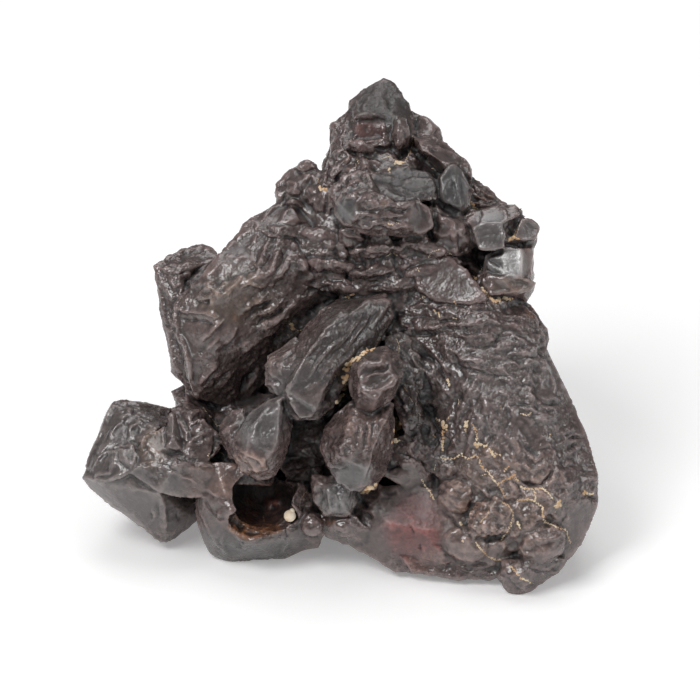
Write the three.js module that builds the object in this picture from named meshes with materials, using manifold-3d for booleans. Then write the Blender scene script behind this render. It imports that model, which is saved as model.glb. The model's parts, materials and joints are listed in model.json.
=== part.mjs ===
// A prophecy stone: blocky and bladed crystals grown together in one cluster, changed to iron oxide,
// and worn round by wind-blown sand. It stands on worn feet and leans back. A grain of pale shell
// is lodged in a pocket of its left foot.
//
// Every crystal is given in the frame of the stone's broad face, in millimetres: x to the right,
// y up the face, z out of the face. At the end the face is leaned back and set down on its feet.

import * as THREE from 'three';
import { ConvexGeometry } from 'three/addons/geometries/ConvexGeometry.js';
import { ImprovedNoise } from 'three/addons/math/ImprovedNoise.js';
import { TessellateModifier } from 'three/addons/modifiers/TessellateModifier.js';
import { mergeVertices } from 'three/addons/utils/BufferGeometryUtils.js';
import Module from 'manifold-3d';

const wasm = await Module();
wasm.setup();

// Driving dimensions

const LEAN_DEG = 30; // how far the broad face leans back from upright
const FLOOR = -29.2; // height at which the feet are worn flat, from the centre of the face
const FACET = 5.5; // longest edge of a facet on a worn crystal
const WEATHERED = 1; // wear of a crystal that the sand has wrinkled
const POLISHED = 0.4; // wear of a crystal that has kept its flat faces
const WEAR_TOLERANCE = 0.16; // facets closer to flat than this are one facet
const GRAIN_RADIUS = 0.9;
const GRAIN_GAP = 0.3;

// Solids

const radians = THREE.MathUtils.degToRad;
const noise = new ImprovedNoise();

function solidOf(geometry) {
  const bare = geometry.clone();
  bare.deleteAttribute('normal');
  bare.deleteAttribute('uv');
  const merged = mergeVertices(bare, 1e-4);
  const mesh = new wasm.Mesh({
    numProp: 3,
    vertProperties: merged.attributes.position.array,
    triVerts: new Uint32Array(merged.index.array),
  });
  return new wasm.Manifold(mesh);
}

function geometryOf(solid) {
  const mesh = solid.getMesh();
  const geometry = new THREE.BufferGeometry();
  geometry.setAttribute('position', new THREE.BufferAttribute(mesh.vertProperties, 3));
  geometry.setIndex(new THREE.BufferAttribute(mesh.triVerts, 1));
  return geometry;
}

// How far the worn surface stands out at a point: broad swells, and wrinkles along the face.
function relief(p) {
  const swell = noise.noise(p.x / 8 + 5, p.y / 8, p.z / 8);
  const wrinkle = Math.abs(noise.noise(p.x / 5, p.y / 3 + 9, p.z / 4));
  return 1.1 * swell - 1.2 * wrinkle + 0.3;
}

// The faces of a crystal are broken into facets, and their corners pushed in and out.
function worn(geometry, wear) {
  const fine = new TessellateModifier(FACET, 10).modify(geometry);
  fine.deleteAttribute('normal');
  fine.deleteAttribute('uv');
  const merged = mergeVertices(fine, 1e-3);
  merged.computeVertexNormals();
  const { position, normal } = merged.attributes;
  const p = new THREE.Vector3();
  const n = new THREE.Vector3();
  for (let i = 0; i < position.count; i++) {
    p.fromBufferAttribute(position, i);
    n.fromBufferAttribute(normal, i);
    p.addScaledVector(n, wear * relief(p));
    position.setXYZ(i, p.x, p.y, p.z);
  }
  return solidOf(merged);
}

// A crystal with flat faces between its corners.
function crystal(wear, corners) {
  return worn(new ConvexGeometry(corners.map((c) => new THREE.Vector3(...c))), wear);
}

// A crystal whose front has this outline, with crest points standing out of the front. Its back is
// the same outline drawn in by taper, depth behind it.
function block(wear, outline, depth, taper, crest) {
  const middle = [0, 1].map((i) => outline.reduce((sum, c) => sum + c[i], 0) / outline.length);
  const back = outline.map(([x, y, z]) => [
    middle[0] + (x - middle[0]) * taper,
    middle[1] + (y - middle[1]) * taper,
    z - depth,
  ]);
  return crystal(wear, [...outline, ...crest, ...back]);
}

// A crystal grown as a plain block, turned about its own centre.
function cube(wear, at, size, turn) {
  const geometry = new THREE.BoxGeometry(...size).toNonIndexed();
  geometry.rotateX(radians(turn[0])).rotateY(radians(turn[1])).rotateZ(radians(turn[2]));
  return worn(geometry.translate(...at), wear);
}

// A crystal grown as two pyramids base to base, turned about its own centre.
function bipyramid(wear, at, size, turn) {
  const geometry = new THREE.OctahedronGeometry(1).scale(...size);
  geometry.rotateX(radians(turn[0])).rotateY(radians(turn[1])).rotateZ(radians(turn[2]));
  return worn(geometry.translate(...at), wear);
}

// A crystal worn down to an uneven mound.
function mound(at, radii, turnZ) {
  const geometry = new THREE.IcosahedronGeometry(1, 1).scale(...radii);
  return worn(geometry.rotateZ(radians(turnZ)).translate(...at), POLISHED);
}

// A crystal worn down to a rounded lump. The same shape is used to cut a pit.
function lump(at, radii, turnZ = 0) {
  const detail = Math.max(...radii) > 4 ? 2 : 1;
  const geometry = new THREE.IcosahedronGeometry(1, detail).scale(...radii);
  return solidOf(geometry.rotateZ(radians(turnZ)).translate(...at));
}

// The middle that every crystal grows from, with long ridges across its front

function core() {
  const ridges = [
    [-3.5, 16.8, 0.2, -10], [4.5, 14.9, 3, 5], [-2, 12.6, 1.4, -8], [10.5, 15.6, 3.4, -12],
    [7, 9.6, 1.2, 8], [0, 9.2, 0.4, -12], [12, 12.2, 2, 12], [3.5, 11.8, 2, 8],
  ];
  return [
    lump([2, 0, -14], [22, 20, 11]),
    lump([2, -13, -9], [20, 10, 8]),
    ...ridges.map(([x, y, z, turn]) => mound([x, y, z], [4.4, 1.3, 1.8], turn)),
  ];
}

// Left: a broad wing with a pyramid on its upper corner, and a tall crystal behind its edge

function leftWing() {
  const wing = block(
    WEATHERED,
    [
      [-26.3, 6.8, 0], [-21.8, 12, 2], [-19.5, 14.6, 0.5], [-15, 19.5, -1.5],
      [-11, 21.8, -3.5], [-5, 17, -0.5], [-1.5, 10.5, -1], [-2.5, 6.5, -4],
      [-6.5, 3, -6], [-12.8, -3, -6.5], [-16, -8.3, -5.5], [-20, -8.6, -3],
      [-23.3, -7.2, -1], [-24.2, -2, 1],
    ],
    13,
    0.85,
    [[-20.5, 7.8, 4.8], [-14, 11, 4.8], [-20, 0, 3.2], [-9, 13.5, 3], [-16, 4, 2.2]],
  );
  const corner = crystal(POLISHED, [
    [-15, 19.3, -1], [-11.5, 21.8, -3], [-8.5, 22.2, -3], [-5.5, 19, -1], [-6.5, 16.8, 0.3],
    [-12, 17, 1.8], [-8.8, 19.6, 0.8], [-9, 18, -10], [-12, 19, -10],
  ]);
  return [wing, corner];
}

function sideCrystal() {
  const outline = [
    [-29.5, 12.7, -4], [-28, 13.8, -6], [-25.5, 15, -8], [-22.5, 15.9, -9], [-20.6, 15.4, -8],
    [-19.8, 14, -6], [-21.5, 10, -4], [-22.5, -7.8, -3], [-24.2, -7, -3.5],
    [-26.8, -3.2, -4], [-27.8, 2.3, -4], [-28.9, 8, -4],
  ];
  return block(POLISHED, outline, 13, 0.8, [[-25.8, 11.6, -1.8], [-24.5, 1, -0.8]]);
}

// Lower left: a large crystal seen edge on, with smaller pyramids climbing its shoulder

function lowerLeftCrystals() {
  const large = crystal(POLISHED, [
    [-40.4, -19.2, -2], [-39.5, -20.8, -3], [-35.8, -7.8, -6.5], [-33, -7.6, -7],
    [-30, -8.2, -7.5], [-28.8, -9.3, -8], [-25, -9.3, -9], [-28.4, -29.2, -5], [-27, -29.3, -6],
    [-22.9, -26, -8],
    [-22, -24, -9], [-37.5, -19.8, 0.8], [-33, -18.5, 2.8], [-28.5, -21.5, 3.5],
    [-37.5, -16.2, -0.5], [-34.2, -9.8, -3.5], [-29, -12, 0],
    [-34, -18, -14], [-27, -13, -16], [-24, -22, -13],
  ]);
  const knuckle = crystal(POLISHED, [
    [-37.8, -19, 0.5], [-35.5, -14.5, 0.6], [-32.5, -14.2, 2], [-31.5, -17.8, 3.8],
    [-34.5, -19, 3], [-34.5, -16, 2.6], [-34, -16, -5], [-32, -17, -5],
  ]);
  const pyramid = crystal(POLISHED, [
    [-33.2, -18.2, 3], [-30.8, -13.2, 2.8], [-28, -11.6, 0.8], [-26.3, -17.4, 5.8],
    [-20.3, -17.3, 4.2], [-28.5, -21.3, 4.4], [-25.5, -22.5, 3.4], [-20, -22.5, 2.4],
    [-26, -17, -8], [-20, -18, -8],
  ]);
  const point = crystal(POLISHED, [
    [-26.7, -9.2, 0.4], [-28, -12.8, 0.4], [-24.7, -13.4, 1.5], [-27.7, -15.2, 4],
    [-25, -15.3, 4], [-26.5, -13, 4.6], [-25, -12, -6], [-27, -14, -6],
  ]);
  const shoulder = crystal(WEATHERED, [
    [-27, -8.6, -2], [-25, -7.3, -3], [-22.3, -7.3, -3], [-20.6, -9, -2],
    [-20.5, -13.5, 2.4], [-24.5, -13.5, 3], [-23.5, -9.5, 1.4], [-26, -12, -10], [-20, -12, -10],
  ]);
  const wedge = crystal(POLISHED, [
    [-24.3, -13.5, 2.8], [-22, -10.3, 2.5], [-19.8, -12.5, 3], [-19, -15, 2.5],
    [-21, -16.5, 4.2], [-25, -15.8, 4.2], [-23, -14, -8], [-19, -14, -8],
  ]);
  const rubble = crystal(WEATHERED, [
    [-25, -6, -5], [-12, -7, -6], [-9, -14, -4], [-12, -20, -2], [-21, -20, 1.5],
    [-24, -14, 0], [-17.5, -10, -2.5], [-14, -14, -1.5], [-24, -10, -14], [-10, -12, -14],
  ]);
  return [large, knuckle, pyramid, point, shoulder, wedge, rubble];
}

// Bottom left: a smooth foot with a broken-open pocket

function leftFoot() {
  const foot = crystal(POLISHED, [
    [-24, -18, 2], [-22.8, -26.3, -1], [-21.8, -29, -2.5], [-20.8, -30.8, -3.5],
    [-19, -31.8, -4], [-16.3, -32.1, -4.2], [-10.5, -31.6, -4], [-7.3, -30.5, -3.5],
    [-4.8, -28.8, -2.5], [-4, -25.8, 0], [-7, -20, 2.5], [-15, -17, 3.5], [-20, -16.6, 3.8],
    [-18, -24, 5.4], [-14, -29, 3.6], [-9, -28.2, 3.2], [-20, -28, 2.5], [-9, -23, 4.4],
    [-20, -22, -12], [-8, -22, -12],
  ]);
  const cave = lump([-13.2, -22, 1.5], [4.9, 4.6, 7]);
  const lobes = [
    lump([-12.4, -25.4, 4], [4.6, 2.4, 2.8], 20),
    lump([-16.4, -25.6, 3.8], [1.8, 2, 2.4]),
    lump([-10, -20.4, 3], [2.2, 2, 4]),
  ];
  return lobes.reduce((whole, lobe) => whole.subtract(lobe), foot.subtract(cave));
}

// Middle: two stubby fingers that stand out of the face, and the lumps round them

function leftFinger() {
  const upper = block(
    WEATHERED,
    [
      [-2, 7.8, 3], [5, 7.8, 3.5], [6.3, 5.3, 4], [3.6, 2.8, 7], [0.3, -1.5, 9],
      [-1.2, -6, 9], [-2.4, -8.6, 9], [-4.8, -10.3, 9.5], [-7.8, -11, 9.5], [-9.8, -9.3, 9.5],
      [-10.4, -6.4, 9], [-7.5, 2.3, 6], [-4.5, 6.3, 5],
    ],
    12,
    0.85,
    [[-9.2, -6.2, 12.6], [-6.8, -1.2, 13], [-3.8, 3, 11.6], [-1.2, 5.6, 8.6], [-2.5, -4, 12],
      [-5, -8.6, 12.4]],
  );
  const shoulder = crystal(WEATHERED, [
    [-8, 2, 5.5], [-12, -1.2, 6], [-12.9, -4, 6.5], [-12.4, -6.6, 8], [-9.5, -7, 10],
    [-8, -2, 10.5], [-11, -3, 8.8], [-10, -1, -4], [-9, -6, -4],
  ]);
  const lower = block(
    POLISHED,
    [
      [-10, -6.8, 10], [-12.3, -7.2, 9], [-15, -9.5, 8], [-17, -13.2, 8], [-17.5, -15.8, 8],
      [-16.3, -18, 7.5], [-13.8, -19.3, 7], [-11, -18.8, 7], [-9.7, -16.2, 7.5],
      [-8.8, -13.5, 8], [-8.5, -9.8, 8],
    ],
    11,
    0.85,
    [[-13, -9.8, 12], [-15, -13.2, 12.4], [-15.5, -15.6, 11.8], [-12.8, -17, 11.8],
      [-10.8, -13.5, 12.5], [-10.4, -8.3, 12]],
  );
  const side = crystal(POLISHED, [
    [-19.3, -10.8, 3], [-17.8, -9.2, 3.5], [-16, -8.6, 5], [-15.2, -13, 7], [-16.2, -16.6, 7],
    [-18.2, -16.4, 5], [-19.6, -13.6, 3.5], [-17.8, -12.4, 6.6], [-16, -12, -4],
  ]);
  return [upper, shoulder, lower, side];
}

function middleFinger() {
  const head = block(
    POLISHED,
    [
      [0.3, -2, 11], [1.8, -0.2, 10], [5.3, 0.4, 9.5], [7.2, -1, 10], [7.6, -4.2, 11],
      [6.3, -7.2, 12], [3.3, -9.6, 12], [1, -8.7, 11], [-0.1, -5.3, 11],
    ],
    15,
    0.9,
    [[1.3, -2.6, 14.6], [5.9, -1.8, 14.4], [6.4, -4.6, 15.2], [3.8, -7.2, 16], [1.2, -6, 15.4]],
  );
  const trunk = block(
    WEATHERED,
    [
      [0, -7.8, 10], [6.3, -7.8, 10], [7.2, -10.5, 8], [6.3, -14.3, 7.5], [5.3, -18, 7.5],
      [3.3, -20.4, 7.5], [1.2, -20.9, 8], [-1.8, -19.5, 8], [-3.8, -17.4, 8],
      [-4.8, -14.7, 8], [-3.8, -12, 8], [-1.5, -9.8, 9],
    ],
    13,
    0.85,
    [[0, -11.3, 12.6], [5, -10.5, 12.4], [2.7, -18, 12.8], [-1.8, -15.8, 13.2], [4, -14, 13]],
  );
  const toe = block(
    POLISHED,
    [
      [-5.8, -18.6, 4], [0.6, -19.4, 6], [1.2, -22.5, 5], [0, -24.9, 5], [-3.8, -24.9, 5],
      [-5.6, -22.5, 4.5],
    ],
    11,
    0.9,
    [[-1.5, -22.5, 7.6], [-3.6, -20.6, 6.8]],
  );
  return [head, trunk, toe];
}

function lowerLumps() {
  return [
    lump([-5.7, -26.2, 2.4], [1.8, 1.8, 2.2]),
    crystal(POLISHED, [
      [-4.6, -26, 1.5], [-3.4, -24.4, 3.4], [0.6, -24.6, 4], [3.4, -27, 3], [3, -29.4, 1.6],
      [-1, -29.2, 0.8], [-3.8, -28, 1], [-1.5, -26.6, 4.4], [0, -26, -4],
    ]),
    crystal(POLISHED, [
      [-10, -26.4, -2], [-6, -25.2, 0], [-3.4, -26.6, 0], [-4.6, -29.8, -2.6], [-8.6, -30.8, -3],
      [-6.6, -28.2, 0.8], [-7, -28, -8],
    ]),
    crystal(WEATHERED, [
      [5.4, 1.6, 3], [9, 3, 2.6], [11.8, 1, 2], [13.4, -5, 2], [12.6, -12, 2.4], [8.4, -13, 3],
      [6, -8, 4], [9.6, -2.6, 4], [10, -10, 4.4], [9, -4, -6],
    ]),
    crystal(WEATHERED, [
      [5, -14, 3], [8.6, -12.6, 3], [12, -14.4, 3.2], [13, -19, 3], [9, -21, 3.6], [5, -19, 3.4],
      [9.4, -16, 5], [9, -16, -6],
    ]),
    crystal(WEATHERED, [
      [-10, -12, -4], [-4, -9, -3], [-3, -15, -2], [-4, -21, -1], [-8, -22, -1],
      [-10, -18, -2.6], [-6, -16, -1.6], [-7, -16, -10],
    ]),
  ];
}

// Right: the largest face of the stone, and the base under it

function rightWing() {
  const outline = [
    [12, 14, 0.5], [13.8, 14.3, 0], [15.8, 13.1, 0], [19.5, 8.6, 1.8], [22.5, 7, 1.8],
    [26.4, 6.3, 0.8], [27.7, 3.8, 0.8], [29.4, 0, 1.5], [31.3, -5.7, 2], [32.7, -8.7, 2],
    [35.4, -13.2, 2.5], [36.9, -18, 3], [37.4, -22, 3], [37, -25.5, 2.5], [35, -28.5, 2.5],
    [33, -31, 2.5], [29.3, -33.8, 3.5], [18, -31.2, 5], [14.3, -23.5, 3.6], [12.4, -15.8, 2],
    [11.4, -9, 0.5], [8.9, -1.5, 0], [7.2, 3.3, 1], [9.3, 9.8, 0.5],
  ];
  const crest = [
    [17.6, 4.2, 5.2], [25.2, 3.2, 4.8], [20.5, -8, 8], [27.5, -9, 8], [29.8, -14.3, 8.4],
    [32, -21.5, 7.6], [17.5, -16, 6.8], [27, -26, 9.2], [12.4, 2.4, 3.2], [16, -3, 5.4],
  ];
  return block(WEATHERED, outline, 14, 0.75, crest);
}

function rightFoot() {
  const base = crystal(POLISHED, [
    [-1.5, -21, 0], [-1.6, -28.6, 0.8], [1.8, -30.2, 1], [4.2, -31.8, 1.3], [6.3, -33.2, 1.5],
    [8.8, -33.9, 1.8], [12, -33.5, 2], [15, -34.2, 2.3], [19, -33.4, 3], [18, -26, 6],
    [13, -20.6, 4.4], [7.6, -20, 3], [6, -26, 4.8], [11, -27, 6], [13.5, -30.4, 5.4],
    [2.6, -22.4, 2.6], [0, -22, -10], [16, -22, -10], [8, -28, -7],
  ]);
  const toe = crystal(POLISHED, [
    [22.5, -31.4, 6.4], [28.2, -30.2, 7.6], [32.6, -31.4, 4.8], [31.5, -33.3, 4.5],
    [28.5, -35.3, 4.5], [25.8, -37, 4.6], [23.7, -36.2, 4.5], [21.6, -34.4, 4.5],
    [26, -33, 9], [23.8, -33.6, 7.8], [24, -30, -4], [30, -29, -4],
  ]);
  const knuckles = [
    [[21.8, -25, 6.8], [4.6, 3.2, 2.4], 15], [[17.4, -28.6, 5], [4, 2.8, 2.2], -20],
    [[28.4, -28.6, 6.8], [4, 3.4, 2.6], 30], [[16, -21.8, 4.6], [3.6, 2.8, 2.6], 0],
    [[24.5, -19.6, 7.2], [4.6, 2.4, 1.8], -12],
  ];
  return [base, toe, ...knuckles.map(([at, radii, turn]) => mound(at, radii, turn))];
}

// Top: the trunk of the cluster, the pointed crystal on it, and the lump in front

function upperTrunk() {
  const outline = [
    [-7.5, 20.7, -2], [-4.2, 25.5, -3], [-3, 29, -4], [0, 33, -6], [9.5, 32, -6],
    [13.5, 27.8, -5], [18, 21.3, -1.6], [18.4, 14.3, -1], [15, 8.4, -1], [12, 12.8, 1],
    [6.8, 3.8, 0], [-0.8, 7, 0], [-6, 15, -0.5],
  ];
  const crest = [[4.5, 16.4, 4], [11, 16.5, 4], [2, 28.8, -0.6], [8.5, 28.4, -0.8]];
  return block(WEATHERED, outline, 14, 0.8, crest);
}

function frontLump() {
  return crystal(POLISHED, [
    [-2.5, 24, 4], [-0.8, 25.6, 4], [1, 26.7, 4], [2, 26.3, 4.6], [3.8, 24.6, 6.4],
    [10, 22.7, 6.4], [12.5, 18.8, 5], [12, 17.6, 5], [9.8, 16.8, 6], [4.5, 17, 7.5],
    [1.5, 17.5, 7.5], [-0.8, 18.3, 7], [-2.5, 20.3, 5], [-2.4, 22.5, 6.5], [0.8, 23, 9.3],
    [0.6, 19.5, 9.5], [9.4, 21.6, 9], [8.5, 18.3, 8.8], [4, 22.4, 9.8], [0, 22, -2], [10, 21, -2],
  ]);
}

function topCrystal() {
  const point = crystal(POLISHED, [
    [5.2, 41.2, -9], [4.2, 40.6, -8.5], [1.8, 39.3, -8.5], [0.2, 37.5, -8], [0, 36.3, -7.5],
    [-0.6, 31.5, -5], [0, 30.5, -4], [9.3, 30, -4], [9.8, 33, -5.5], [9.9, 35, -7],
    [9.2, 36.8, -8], [7.5, 38.9, -8.5], [6.8, 40.2, -9], [0.9, 35, -4], [5, 35.2, -3.4],
    [4.6, 38.2, -5.8], [7.2, 35, -3.4], [8.2, 31.5, -2], [5, 30.6, -1.6], [1, 30.8, -2],
    [4, 36, -17], [1, 31, -18], [9, 31, -17],
  ]);
  const flank = crystal(WEATHERED, [
    [0.2, 36.2, -7.6], [-2.3, 33.9, -7], [-2.7, 32.6, -6.5], [-3.5, 30.3, -6], [-3.9, 28.2, -5.5], [-4.4, 25.4, -4],
    [-2.3, 25.2, -0.8], [0.5, 28.5, -1.2], [0.4, 32.8, -4.4], [-1.3, 31, -2.8], [-2.6, 28, -2],
    [-3, 29, -15], [-1, 33, -15],
  ]);
  const recess = cube(POLISHED, [3, 33.1, -1.8], [4.4, 3.3, 2.4], [15, 0, 0]);
  const knob = lump([7.8, 32.3, -2.6], [1.3, 2.8, 1.8]);
  const rib = lump([1.4, 30.5, -1.6], [2.2, 0.9, 1.2], -25);
  const lip = lump([2.8, 35, -3.2], [2.4, 0.6, 0.8], 4);
  return [point.subtract(recess), flank, knob, rib, lip];
}

// Upper left and upper right: small blocks against the trunk

function upperLeftBlocks() {
  return [
    crystal(POLISHED, [
      [-10.9, 21.8, -3], [-11.4, 23.6, -4], [-11, 24.9, -4.5], [-9.8, 26.2, -5], [-8, 27.2, -5],
      [-6.2, 26, -2.5], [-6.3, 22.5, -1.5], [-8.5, 24.3, -1], [-10, 23.5, -1.8],
      [-10.5, 23, -12], [-6, 24, -12], [-8, 26.5, -12],
    ]),
    lump([-6.3, 27.2, -4.8], [1.7, 1.5, 2]),
    crystal(POLISHED, [
      [-6.2, 26.8, -4], [-3.5, 27.2, -4], [-1.8, 25, -1], [-2, 21.6, 1], [-5, 20.8, 0],
      [-6.4, 23, -1], [-4, 24.5, 0.6], [-5.5, 24, -10], [-2, 24, -10],
    ]),
  ];
}

function upperRightBlocks() {
  return [
    crystal(POLISHED, [
      [3, 26.6, 1.4], [7.5, 27.9, 0.2], [12, 26.7, 1], [13.3, 25.2, 2], [13, 22.4, 4.6],
      [9, 22.3, 6], [5, 23.3, 5.5], [2.5, 24.8, 4], [4, 25, -8], [13, 24, -8],
    ]),
    crystal(POLISHED, [
      [13, 26.2, 1.5], [14.4, 27.3, 1], [15.8, 27.5, 1], [17.2, 26.3, 1], [18.2, 24, 0.5],
      [18, 21.8, 1.5], [16.5, 20.3, 3], [15, 21.5, 4.2], [13.4, 22.5, 3.7], [14.5, 25.5, 4.2],
      [16.3, 25.5, 3.9], [16.6, 21.5, 4.2], [13.5, 24, -8], [18, 22, -8],
    ]),
    crystal(POLISHED, [
      [9.5, 32.2, -4], [12.8, 31.9, -4], [14.4, 30.8, -4], [16.5, 29.3, -3.5], [17.9, 27.8, -3],
      [18.3, 26.3, -2.5], [15.8, 27, 0.8], [13.5, 28.3, 1.2], [10.5, 30, 0.8], [10.2, 31.3, 0.2],
      [10, 29, -14], [17.5, 26, -14], [18.2, 22, -6],
    ]),
    crystal(POLISHED, [
      [9.2, 36.2, -9], [10.8, 35.6, -8], [12.4, 34.6, -7.6], [13.7, 33.2, -7.4],
      [14.5, 30.6, -6.5], [12, 29.6, -4.4], [9.5, 31.6, -5.2], [12.5, 33.2, -5.2],
      [9, 33, -16], [14, 30, -15], [11, 35, -15],
    ]),
    crystal(WEATHERED, [
      [17.6, 27, -5], [19.4, 25, -6], [23.2, 22.2, -6], [26.4, 20.2, -7], [19, 17, -3],
      [17.4, 20, -3], [21, 20.6, -3.6], [19, 24, -15], [25, 17, -14], [17, 18, -14],
    ]),
    crystal(WEATHERED, [
      [12.8, 22, 3], [16, 21, 2.6], [18.2, 18.6, 2], [18.6, 15.5, 1.5], [16.5, 13.9, 2.5],
      [13, 14.6, 3], [15.8, 17.7, 5], [13.5, 19.7, 5], [13, 18, -6], [18, 17, -6],
    ]),
  ];
}

function rightCubes() {
  return [
    crystal(POLISHED, [
      [16.4, 20.4, 1], [18.4, 18.6, 3.4], [19.5, 20.9, 1.6], [23.2, 21.8, 0.6], [25.6, 21.2, 0],
      [26.3, 19.4, -0.6], [25.4, 15.6, 1.4], [21, 15, 3.2], [18.6, 16, 3.6], [19.2, 18.6, 4.4],
      [23.6, 19.6, 4.2], [23, 16.2, 4.6], [18, 17, -9], [26, 18, -9],
    ]),
    crystal(POLISHED, [
      [23.4, 18.2, 2.6], [25.8, 19.8, 0.6], [27.6, 18.6, -0.6], [28.3, 17.4, -0.8],
      [27.6, 15.6, 0], [24, 15.2, 2.6], [23.4, 16.4, 3.6], [26.6, 18.2, 2.4], [26.4, 16, 2.6],
      [25, 17, -8],
    ]),
    crystal(POLISHED, [
      [20.2, 14.2, 1.6], [23, 15.4, 2], [27.4, 15.4, -0.5], [27.4, 11.3, 0], [26.9, 9.6, 0.6],
      [21, 9, 2.4], [20, 10.5, 2], [22.8, 14.9, 3.4], [25.6, 14.9, 3], [25.6, 11, 3.4],
      [22.8, 11, 4], [21, 12, -9], [26.6, 12, -9],
    ]),
    crystal(POLISHED, [
      [19, 11.4, 1.6], [22, 11.8, 3.8], [25.6, 11.2, 3.4], [27.7, 10.2, 0.4], [27.7, 9.2, 0.4],
      [26.6, 7.4, 0.6], [21.4, 7.6, 3], [19.4, 9, 2.8], [21, 9.4, 4.4], [25.8, 8.9, 3.8],
      [20, 8, -8], [26, 7, -8],
    ]),
    crystal(WEATHERED, [
      [16, 16, -3], [21, 16, -2], [26, 16.4, -3], [26, 14, -3], [22, 8, -2], [17, 10, -2.4],
      [18, 13, -0.6], [18, 12, -10], [25, 15, -9],
    ]),
    crystal(WEATHERED, [
      [25, 7, -1.6], [27, 6.4, -2], [28.4, 5, -3], [29.4, 3.4, -3], [30, 1.6, -3],
      [29.8, 0, -3], [26, 0, -1], [26, 4, -0.6], [26, 3, -12], [28, 2, -10],
    ]),
  ];
}

// Back: blocks and blades that carry the cluster, two of them its rear feet

function backCrystals() {
  return [
    crystal(WEATHERED, [
      [6, 12, -16], [22, 10, -14], [27, -2, -14], [26, -14, -15], [19, -21, -18], [7, -21, -21],
      [4, -6, -20], [13, 4, -27], [20, -8, -28], [15, -18, -32], [22, -16, -30], [9, -14, -31],
    ]),
    crystal(WEATHERED, [
      [-24, 7, -12], [-8, 12, -14], [-2, 2, -21], [-3, -13, -27], [-8, -19, -30], [-16, -18, -28],
      [-25, -8, -14], [-22, -2, -20], [-13, 2, -26], [-12, -11, -32], [-16, -14, -30],
    ]),
    crystal(POLISHED, [
      [-5, 14, -15], [10, 17, -16], [12, 3, -23], [0, -3, -28], [5, 8, -28], [-7, 5, -23],
    ]),
    crystal(WEATHERED, [
      [-4, 29, -12], [9, 30, -12], [12, 20, -14], [-6, 18, -14], [2, 26, -21], [9, 19, -23],
      [-2, 15, -22],
    ]),
    crystal(WEATHERED, [
      [-12, -20, -8], [15, -20, -8], [16, -21, -16], [-12, -20, -17], [0, -19, -23], [8, -18, -25],
      [2, -8, -28], [-4, -6, -26], [10, -6, -24], [2, -24, -10], [8, -23, -14], [-8, -23, -12],
    ]),
    bipyramid(POLISHED, [20, 7, -18], [7, 7, 8], [40, 10, 30]),
    bipyramid(POLISHED, [-16, 9, -18], [7, 7, 8], [10, 40, 50]),
    cube(POLISHED, [-10, 15, -14], [8, 8, 9], [20, 30, 10]),
    cube(POLISHED, [15, 18, -15], [8, 9, 8], [10, 25, -15]),
    cube(POLISHED, [-22, -10, -13], [7, 8, 8], [30, 10, 20]),
  ];
}

// The stone without the flakes that wear has loosened.
function largest(solid) {
  return solid.decompose().reduce((most, next) => (next.volume() > most.volume() ? next : most));
}

function stoneSolid() {
  const crystals = [
    ...core(), ...leftWing(), sideCrystal(), ...lowerLeftCrystals(), ...leftFinger(),
    ...middleFinger(), ...lowerLumps(), rightWing(), ...rightFoot(), upperTrunk(), frontLump(),
    ...upperLeftBlocks(), ...upperRightBlocks(), ...rightCubes(), ...backCrystals(),
    ...topCrystal(),
  ];
  const foot = leftFoot();
  const pocket = lump([-13.2, -22, 3.4], [4.6, 4.2, 5]);
  const cluster = crystals.reduce((whole, next) => whole.add(next)).subtract(pocket);
  return cluster.add(foot).asOriginal().simplify(WEAR_TOLERANCE);
}

// Setting down: leaning turns the face's up direction most of the way to the stone's own up

const ground = new THREE.BoxGeometry(200, 200, 20).translate(0, 0, FLOOR - 10);
const grainAt = [-9, -24.8, 3.2];
const seat = lump(grainAt, [GRAIN_RADIUS, GRAIN_RADIUS, GRAIN_RADIUS].map((r) => r + GRAIN_GAP));
const leaned = geometryOf(stoneSolid().subtract(seat)).rotateX(radians(90 - LEAN_DEG));
const standing = geometryOf(largest(solidOf(leaned).subtract(solidOf(ground))));
standing.computeBoundingBox();
const { min, max } = standing.boundingBox;

const specimen = new THREE.Group();

function place(name, geometry, material) {
  const mesh = new THREE.Mesh(geometry, material);
  mesh.name = name;
  mesh.position.set(-(min.x + max.x) / 2, -(min.y + max.y) / 2, -FLOOR);
  specimen.add(mesh);
}

place(
  'stone',
  standing,
  new THREE.MeshStandardMaterial({ color: 0x3f3836, roughness: 0.45, metalness: 0 }),
);
place(
  'lodged_grain',
  new THREE.IcosahedronGeometry(GRAIN_RADIUS, 1).translate(...grainAt)
    .rotateX(radians(90 - LEAN_DEG)),
  new THREE.MeshStandardMaterial({ color: 0xd8c3a0, roughness: 0.7, metalness: 0 }),
);

export default specimen;
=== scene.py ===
import json
import math
import random

import bpy
import numpy as np
from mathutils import Euler, Matrix, Vector, noise

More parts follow.
